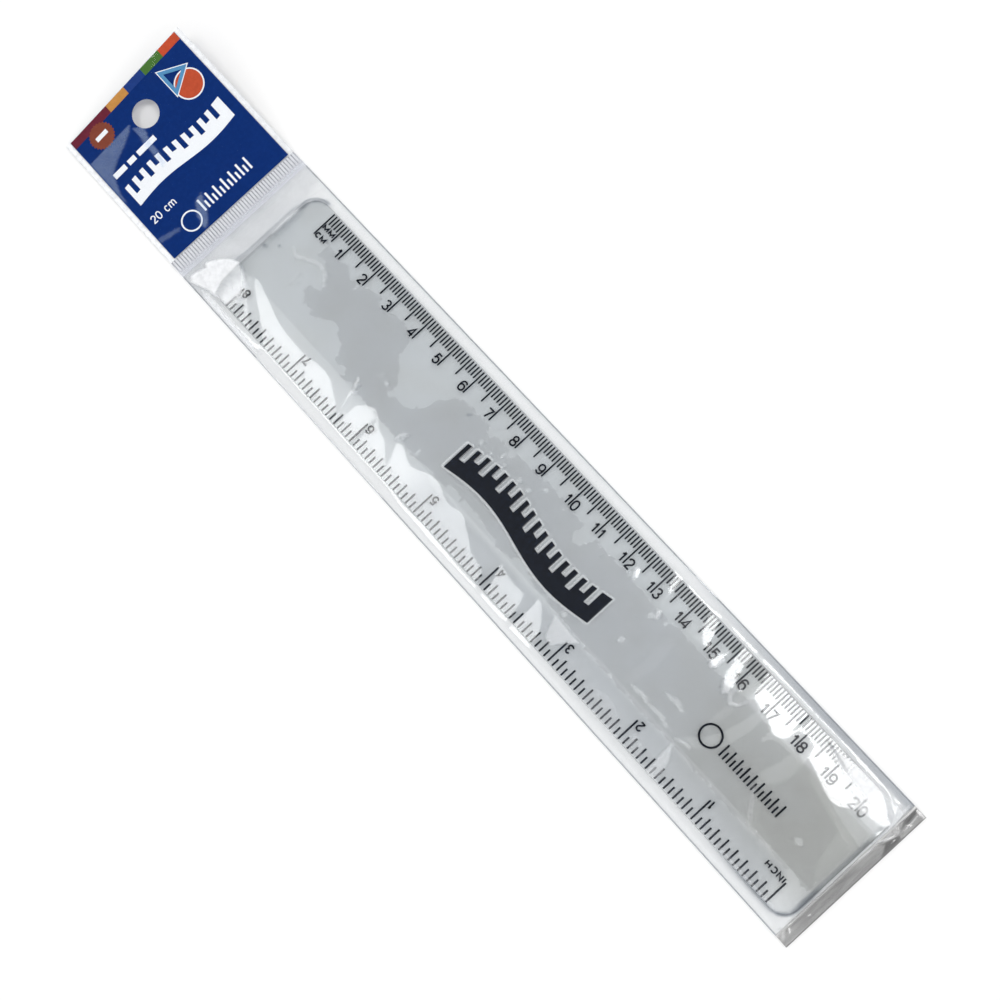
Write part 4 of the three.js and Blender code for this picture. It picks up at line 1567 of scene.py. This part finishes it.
# Patches of painted sheen, a painted reflection on the header's film: outline, strength
PAINTED_SHEEN_PATCHES = [
    (
        [
            (-131, -5), (-129.5, -6.5), (-127.5, -10.5), (-126.2, -14), (-124, -17.6),
            (-119, -19.6), (-112.5, -20.7), (-131, -20.7),
        ],
        0.09,
    ),
    ([(-127.4, -2.6), (-124, -4), (-116, -4.8), (-115, -6.4), (-122, -6), (-129.5, -5.2)], 0.1),
    ([(-102.4, -3.4), (-98, -5), (-94.4, -7.8), (-94.1, -9.4), (-98.4, -8.4), (-101.6, -6.2)], 0.1),
    ([(-99.4, -14), (-98.4, -14.4), (-99.4, -20.6), (-101.2, -20.6)], 0.06),
]


def header_rise(x, y):
    lift = HEADER_LIFT * (crimp_start - x) / (crimp_start - header_top) * (y + half_bag) / (2 * half_bag)
    for path, width, height in HEADER_CREASES:
        lift = lift + crease(x, y, path, width, height)
    return lift


def curl(piece):
    points = corners_of(piece)
    points[:, 2] += header_rise(points[:, 0], points[:, 1])
    move_corners(piece, points)


# %% One layer of the header
def header_layer(name, place, bottom, thickness, material, painted_sheen=(), strip_white_and_light=(0.01, 0.01)):
    """One layer of the header, cut flat, punched and curled. Place is x from, x to and half the width."""
    x_from, x_to, half_width = place
    xs = np.linspace(x_from, x_to, 90)
    ys = np.linspace(-half_width, half_width, 84)
    piece = grid(name, xs, ys, lambda x, y: bottom + 0 * x)
    apply_modifier(piece, "SOLIDIFY", thickness=thickness * MM, offset=1)
    pick()
    hole = (HOLE_X * MM, 0, 0)
    bpy.ops.mesh.primitive_cylinder_add(vertices=72, radius=HOLE_RADIUS * MM, depth=0.01, location=hole)
    punch = named("punch")
    apply_modifier(piece, "BOOLEAN", object=punch, operation="DIFFERENCE", solver="EXACT")
    bpy.data.objects.remove(punch)
    curl(piece)
    paint(piece, material)
    for face in piece.data.polygons:
        face.material_index = 0
    points = corners_of(piece)
    x, y = points[:, 0], points[:, 1]
    # The strips beside the print are whitened, partly with painted light over the header's shadow
    haze_and_glare = 0.001 + np.where(y > 0, *strip_white_and_light) * rise(np.abs(y), 20.5, 20.9)
    # Patches of painted sheen, a painted reflection
    for outline, strength in painted_sheen:
        haze_and_glare = haze_and_glare + strength * rise(distance_inside(x, y, outline), -0.15, 0.25)
    give(piece, "haze_and_glare", haze_and_glare)
    give(piece, "shade", 0.2 * rise(np.abs(y), half_bag - 0.25, half_bag - 0.15))
    give_no_cling(piece)
    smooth(piece, 35)
    remember_place(piece)
    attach(piece, "header")
    return piece


# %% Header films and blue print
# The colour of the painted sheen on the header's front film
PAINTED_SHEEN_COLOUR = (0.55, 0.72, 1.0, 1)
PRINT_TOP, PRINT_THICKNESS = 0.3, 0.08
PRINT_BOTTOM = PRINT_TOP - PRINT_THICKNESS
# The clear strips beside the print, whitened partly as frosted film and partly with painted light over the
# header's shadow, on the centimetre and the inch side
STRIP_WHITE_AND_PAINTED_LIGHT = (0.72, 0.97)

header_film_painted_sheen = film_material("header_film_painted_sheen", 0.04, 0.014, PAINTED_SHEEN_COLOUR)
header_back_film = film_material("header_back_film", 0.04, 0.014, grey(0.99))
whole = (header_top, crimp_start, half_bag)
inset = (header_top + 0.2, crimp_start - 0.4, half_bag - 1.6)
header_back = header_layer("header_back_sheet", whole, 0.03, 0.1, header_back_film, strip_white_and_light=STRIP_WHITE_AND_PAINTED_LIGHT)
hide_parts("header_back_film")
header_panel = header_layer("header_blue_panel", inset, PRINT_BOTTOM, PRINT_THICKNESS, header_blue)
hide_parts("header_print")
header_front = header_layer("header_front_sheet", whole, 0.44, 0.08, header_film_painted_sheen, PAINTED_SHEEN_PATCHES)
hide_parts("header_front_film")
print("header layers made, highest", round(float(corners_of(header_front)[:, 2].max()), 2))

# %% [markdown]
# ## The header's print
#
# The print is made of plain shapes: five blocks of colour along the top, a drawing triangle over a disc,
# a seal, a wavy ruler with dashes, and a ring with a row of lines. Each is a flat plate that is thickened,
# laid on the blue and curled with the header, so every colour is a piece of its own.

# %% Ink plates
ART_BOTTOM = PRINT_TOP + 0.02
ART_THICKNESS, ART_LAYER = 0.02, 0.03


def lie_on_header(piece, name, ink):
    """Curls a flat layer of ink with the header and lets it ride on it."""
    curl(piece)
    piece.name = piece.data.name = name
    paint(piece, ink)
    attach(piece, "header")


def art(piece, name, ink, layer=0):
    """A flat plate at z = 0 becomes a thin layer of ink that lies on the curled header."""
    apply_modifier(piece, "SOLIDIFY", thickness=ART_THICKNESS * MM, offset=1)
    points = corners_of(piece)
    points[:, 2] += ART_BOTTOM + ART_LAYER * layer
    move_corners(piece, points)
    lie_on_header(piece, name, ink)


def blocks(name, boxes, ink, layer=0):
    """Plain rectangles of ink as one piece. A box is x from and to, y from and to."""
    plates = []
    for x0, x1, y0, y1 in boxes:
        xs = np.linspace(x0, x1, max(2, int(abs(x1 - x0) / 0.5) + 1))
        ys = np.linspace(y0, y1, max(2, int(abs(y1 - y0) / 0.5) + 1))
        plates.append(grid("plate", xs, ys))
    art(join(plates, name), name, ink, layer)


def disc(name, x, y, radius, ink, layer=0, scallops=0):
    """A filled circle in small triangles, so that it can curl. Scallops push its rim in and out."""
    piece = circle(name, x, y, radius, 96, "TRIFAN")
    with edit_mode("SELECT"):
        bpy.ops.mesh.subdivide(number_cuts=4)
    if scallops:
        points = corners_of(piece)
        dx, dy = points[:, 0] - x, points[:, 1] - y
        away = np.hypot(dx, dy) / radius
        swell = 1 + 0.05 * np.cos(scallops * np.arctan2(dy, dx)) * away**6
        points[:, 0], points[:, 1] = x + dx * swell, y + dy * swell
        move_corners(piece, points)
    art(piece, name, ink, layer)


def set_square(name, x, y, size, ink, layer):
    """A plain drawing triangle with three like sides and a triangular window."""
    piece = circle(name, x, y, size, 3, "NGON")
    with edit_mode("SELECT"):
        bpy.ops.mesh.inset(thickness=size * 0.2 * MM)
        bpy.ops.mesh.delete(type="FACE")
        bpy.ops.mesh.select_all(action="SELECT")
        bpy.ops.mesh.subdivide(number_cuts=8)
    art(piece, name, ink, layer)


# %% Blocks of colour
BLOCK_TOP, BLOCK_DEPTH = header_top + 0.25, 2.5
# Colour, y from and to
COLOUR_BLOCKS = {
    "red": ((188, 76, 48), 14.0, 20.7),
    "green": ((72, 113, 51), 7.0, 14.0),
    "mid_blue": ((30, 58, 124), 0.4, 7.0),
    "amber": ((190, 135, 70), -6.7, 0.4),
    "maroon": ((104, 37, 52), -20.7, -6.7),
}
for name, (colour, y0, y1) in COLOUR_BLOCKS.items():
    box = (BLOCK_TOP, BLOCK_TOP + BLOCK_DEPTH, y0, y1)
    blocks(f"{name}_block", [box], ink_material(f"{name}_ink", rgb(*colour)))

# %% Disc, seal and set square
SUN_PLACE, SEAL_PLACE, SQUARE_PLACE = (-126.9, 14.2), (-134.6, -12.9), (-131.2, 12.2)
orange_ink = ink_material("orange_ink", rgb(184, 78, 49))
brown_ink = ink_material("brown_ink", rgb(128, 66, 50))
sky_ink = ink_material("sky_ink", rgb(84, 140, 182))

disc("sun_outline", *SUN_PLACE, 4.35, white_ink)
disc("sun_disc", *SUN_PLACE, 3.95, orange_ink, 1)
disc("scalloped_seal", *SEAL_PLACE, 3.75, brown_ink, 1, scallops=24)
blocks("seal_tag", [(-135.3, -134.0, -14.9, -10.9)], white_ink, 2)
set_square("set_square_outline", *SQUARE_PLACE, 5.6, white_ink, 2)
set_square("set_square", *SQUARE_PLACE, 5.1, sky_ink, 3)


# %% Wavy ruler and dashes
def turn_across(points, x, y):
    """Turns flat corner points so that they read across the header, starting from x and y."""
    along, up = points[:, 0].copy(), points[:, 1].copy()
    points[:, 0], points[:, 1] = x - up, y + along


BIG_LENGTH, BIG_HEIGHT, BIG_NOTCHES, BIG_SWING = 35.4, 7.0, 12, 0.8
BIG_PLACE = (-115.2, -17.9)
DASH_FROM, DASH_TO = -124.0, -122.3
DASHES = ((-18.0, -13.6), (-12.6, -10.0), (-9.0, -2.4))

big_band = notched_band("big_band", BIG_LENGTH, BIG_HEIGHT, BIG_NOTCHES)
points = corners_of(big_band)
points[:, 1] += BIG_SWING * np.sin(2 * math.pi * points[:, 0] / BIG_LENGTH)
turn_across(points, *BIG_PLACE)
move_corners(big_band, points)
art(big_band, "header_wavy_ruler", white_ink)
blocks("header_dashes", [(DASH_FROM, DASH_TO, y0, y1) for y0, y1 in DASHES], white_ink)

# %% Ring, row of lines and size mark
BARS_BASE, BARS_FROM, BARS_PITCH, BARS_COUNT = -97.7, -5.9, 1.4, 13
BARS_HEIGHT, BARS_WIDTH = 3.9, 0.62
HEADER_RING_PLACE, HEADER_RING_RADII = (-98.3, -10.4), (3.05, 2.6)
SIZE_PLACE, SIZE_LIFT = (-106.1, -14.3), 0.035

header_ring = ring_plate("header_ring", *HEADER_RING_PLACE, *HEADER_RING_RADII)
art(header_ring, "header_ring", white_ink)
bars = []
for i in range(BARS_COUNT):
    tall = BARS_HEIGHT * (SHORT_BAR if i % 2 else 1.0)
    y = BARS_FROM + i * BARS_PITCH
    bars.append((BARS_BASE - tall, BARS_BASE, y, y + BARS_WIDTH))
blocks("header_bars", bars, white_ink)

size_mark = lettering("20 cm", (0, 0), 2.5, [1.55, 1.55, 0.9, 1.35, 2.1], 0.34, 0.25)
points = corners_of(size_mark)
turn_across(points, *SIZE_PLACE)
points[:, 2] += PRINT_TOP - points[:, 2].max() + SIZE_LIFT
move_corners(size_mark, points)
lie_on_header(size_mark, "header_size_mark", white_ink)

# %% [markdown]
# ## Floor and light
#
# The floor is plain and pale. It is lit like anything else, and a little glow that only the camera sees
# lifts it to white while it keeps the pack's soft shadow. Three large lamps hang above: two side by side
# beyond the inch side, and one beyond the centimetre side. They are what the film's puffs reflect as white
# glare, and they stay out of the mirror direction of the flat land. The room is white at the horizon and
# dim overhead.

# %% Floor
FLOOR_GLOW = 0.10
pick()
bpy.ops.mesh.primitive_plane_add(size=6, location=(0, 0, -0.0002))
floor = named("floor")
n = material_nodes("floor_white")
lit = n.add("ShaderNodeBsdfDiffuse", {"Color": grey(0.8)}).outputs[0]
glow = n.add("ShaderNodeEmission", {"Color": grey(1.0), "Strength": FLOOR_GLOW}).outputs[0]
sum_of = n.add("ShaderNodeAddShader", {0: lit, 1: glow}).outputs[0]
camera_ray = n.add("ShaderNodeLightPath").outputs["Is Camera Ray"]
paint(floor, n.finish(n.blend(camera_ray, lit, sum_of)))

# %% Lamps
for name, x0, x1, y0, y1, brightness in LAMPS:
    data = bpy.data.lights.new(name, "AREA")
    data.shape = "RECTANGLE"
    data.size, data.size_y = x1 - x0, y1 - y0
    data.energy = brightness * math.pi * data.size * data.size_y
    lamp = bpy.data.objects.new(name, data)
    scene.collection.objects.link(lamp)
    lamp.location = ((x0 + x1) / 2, (y0 + y1) / 2, LAMP_HEIGHT)
    print(name, [round(v, 2) for v in lamp.location])

# %% Room
HORIZON, OVERHEAD = 1.0, 0.05
# What only lights the pack is brighter than what the camera, gloss and clear layers see
UNSEEN_GAIN = 1.95

scene.world = scene.world or bpy.data.worlds.new("room")
n = Nodes(scene.world, "ShaderNodeOutputWorld")
direction = n.add("ShaderNodeTexCoord").outputs["Generated"]
height = n.add("ShaderNodeSeparateXYZ", {0: direction}).outputs["Z"]
path = n.add("ShaderNodeLightPath").outputs
seen = n.math("MAXIMUM", path["Is Camera Ray"], path["Is Glossy Ray"])
seen = n.math("MAXIMUM", seen, path["Is Transmission Ray"])
fill = n.ramp(seen, 0.0, 1.0, UNSEEN_GAIN, 1.0, smooth=False)
strength = n.math("MULTIPLY", n.ramp(height, 0.45, 0.85, HORIZON, OVERHEAD), fill)
n.finish(n.add("ShaderNodeBackground", {"Strength": strength}).outputs[0])

# A look down passes through ten or more clear faces before it meets the floor
scene.cycles.transparent_max_bounces = 32
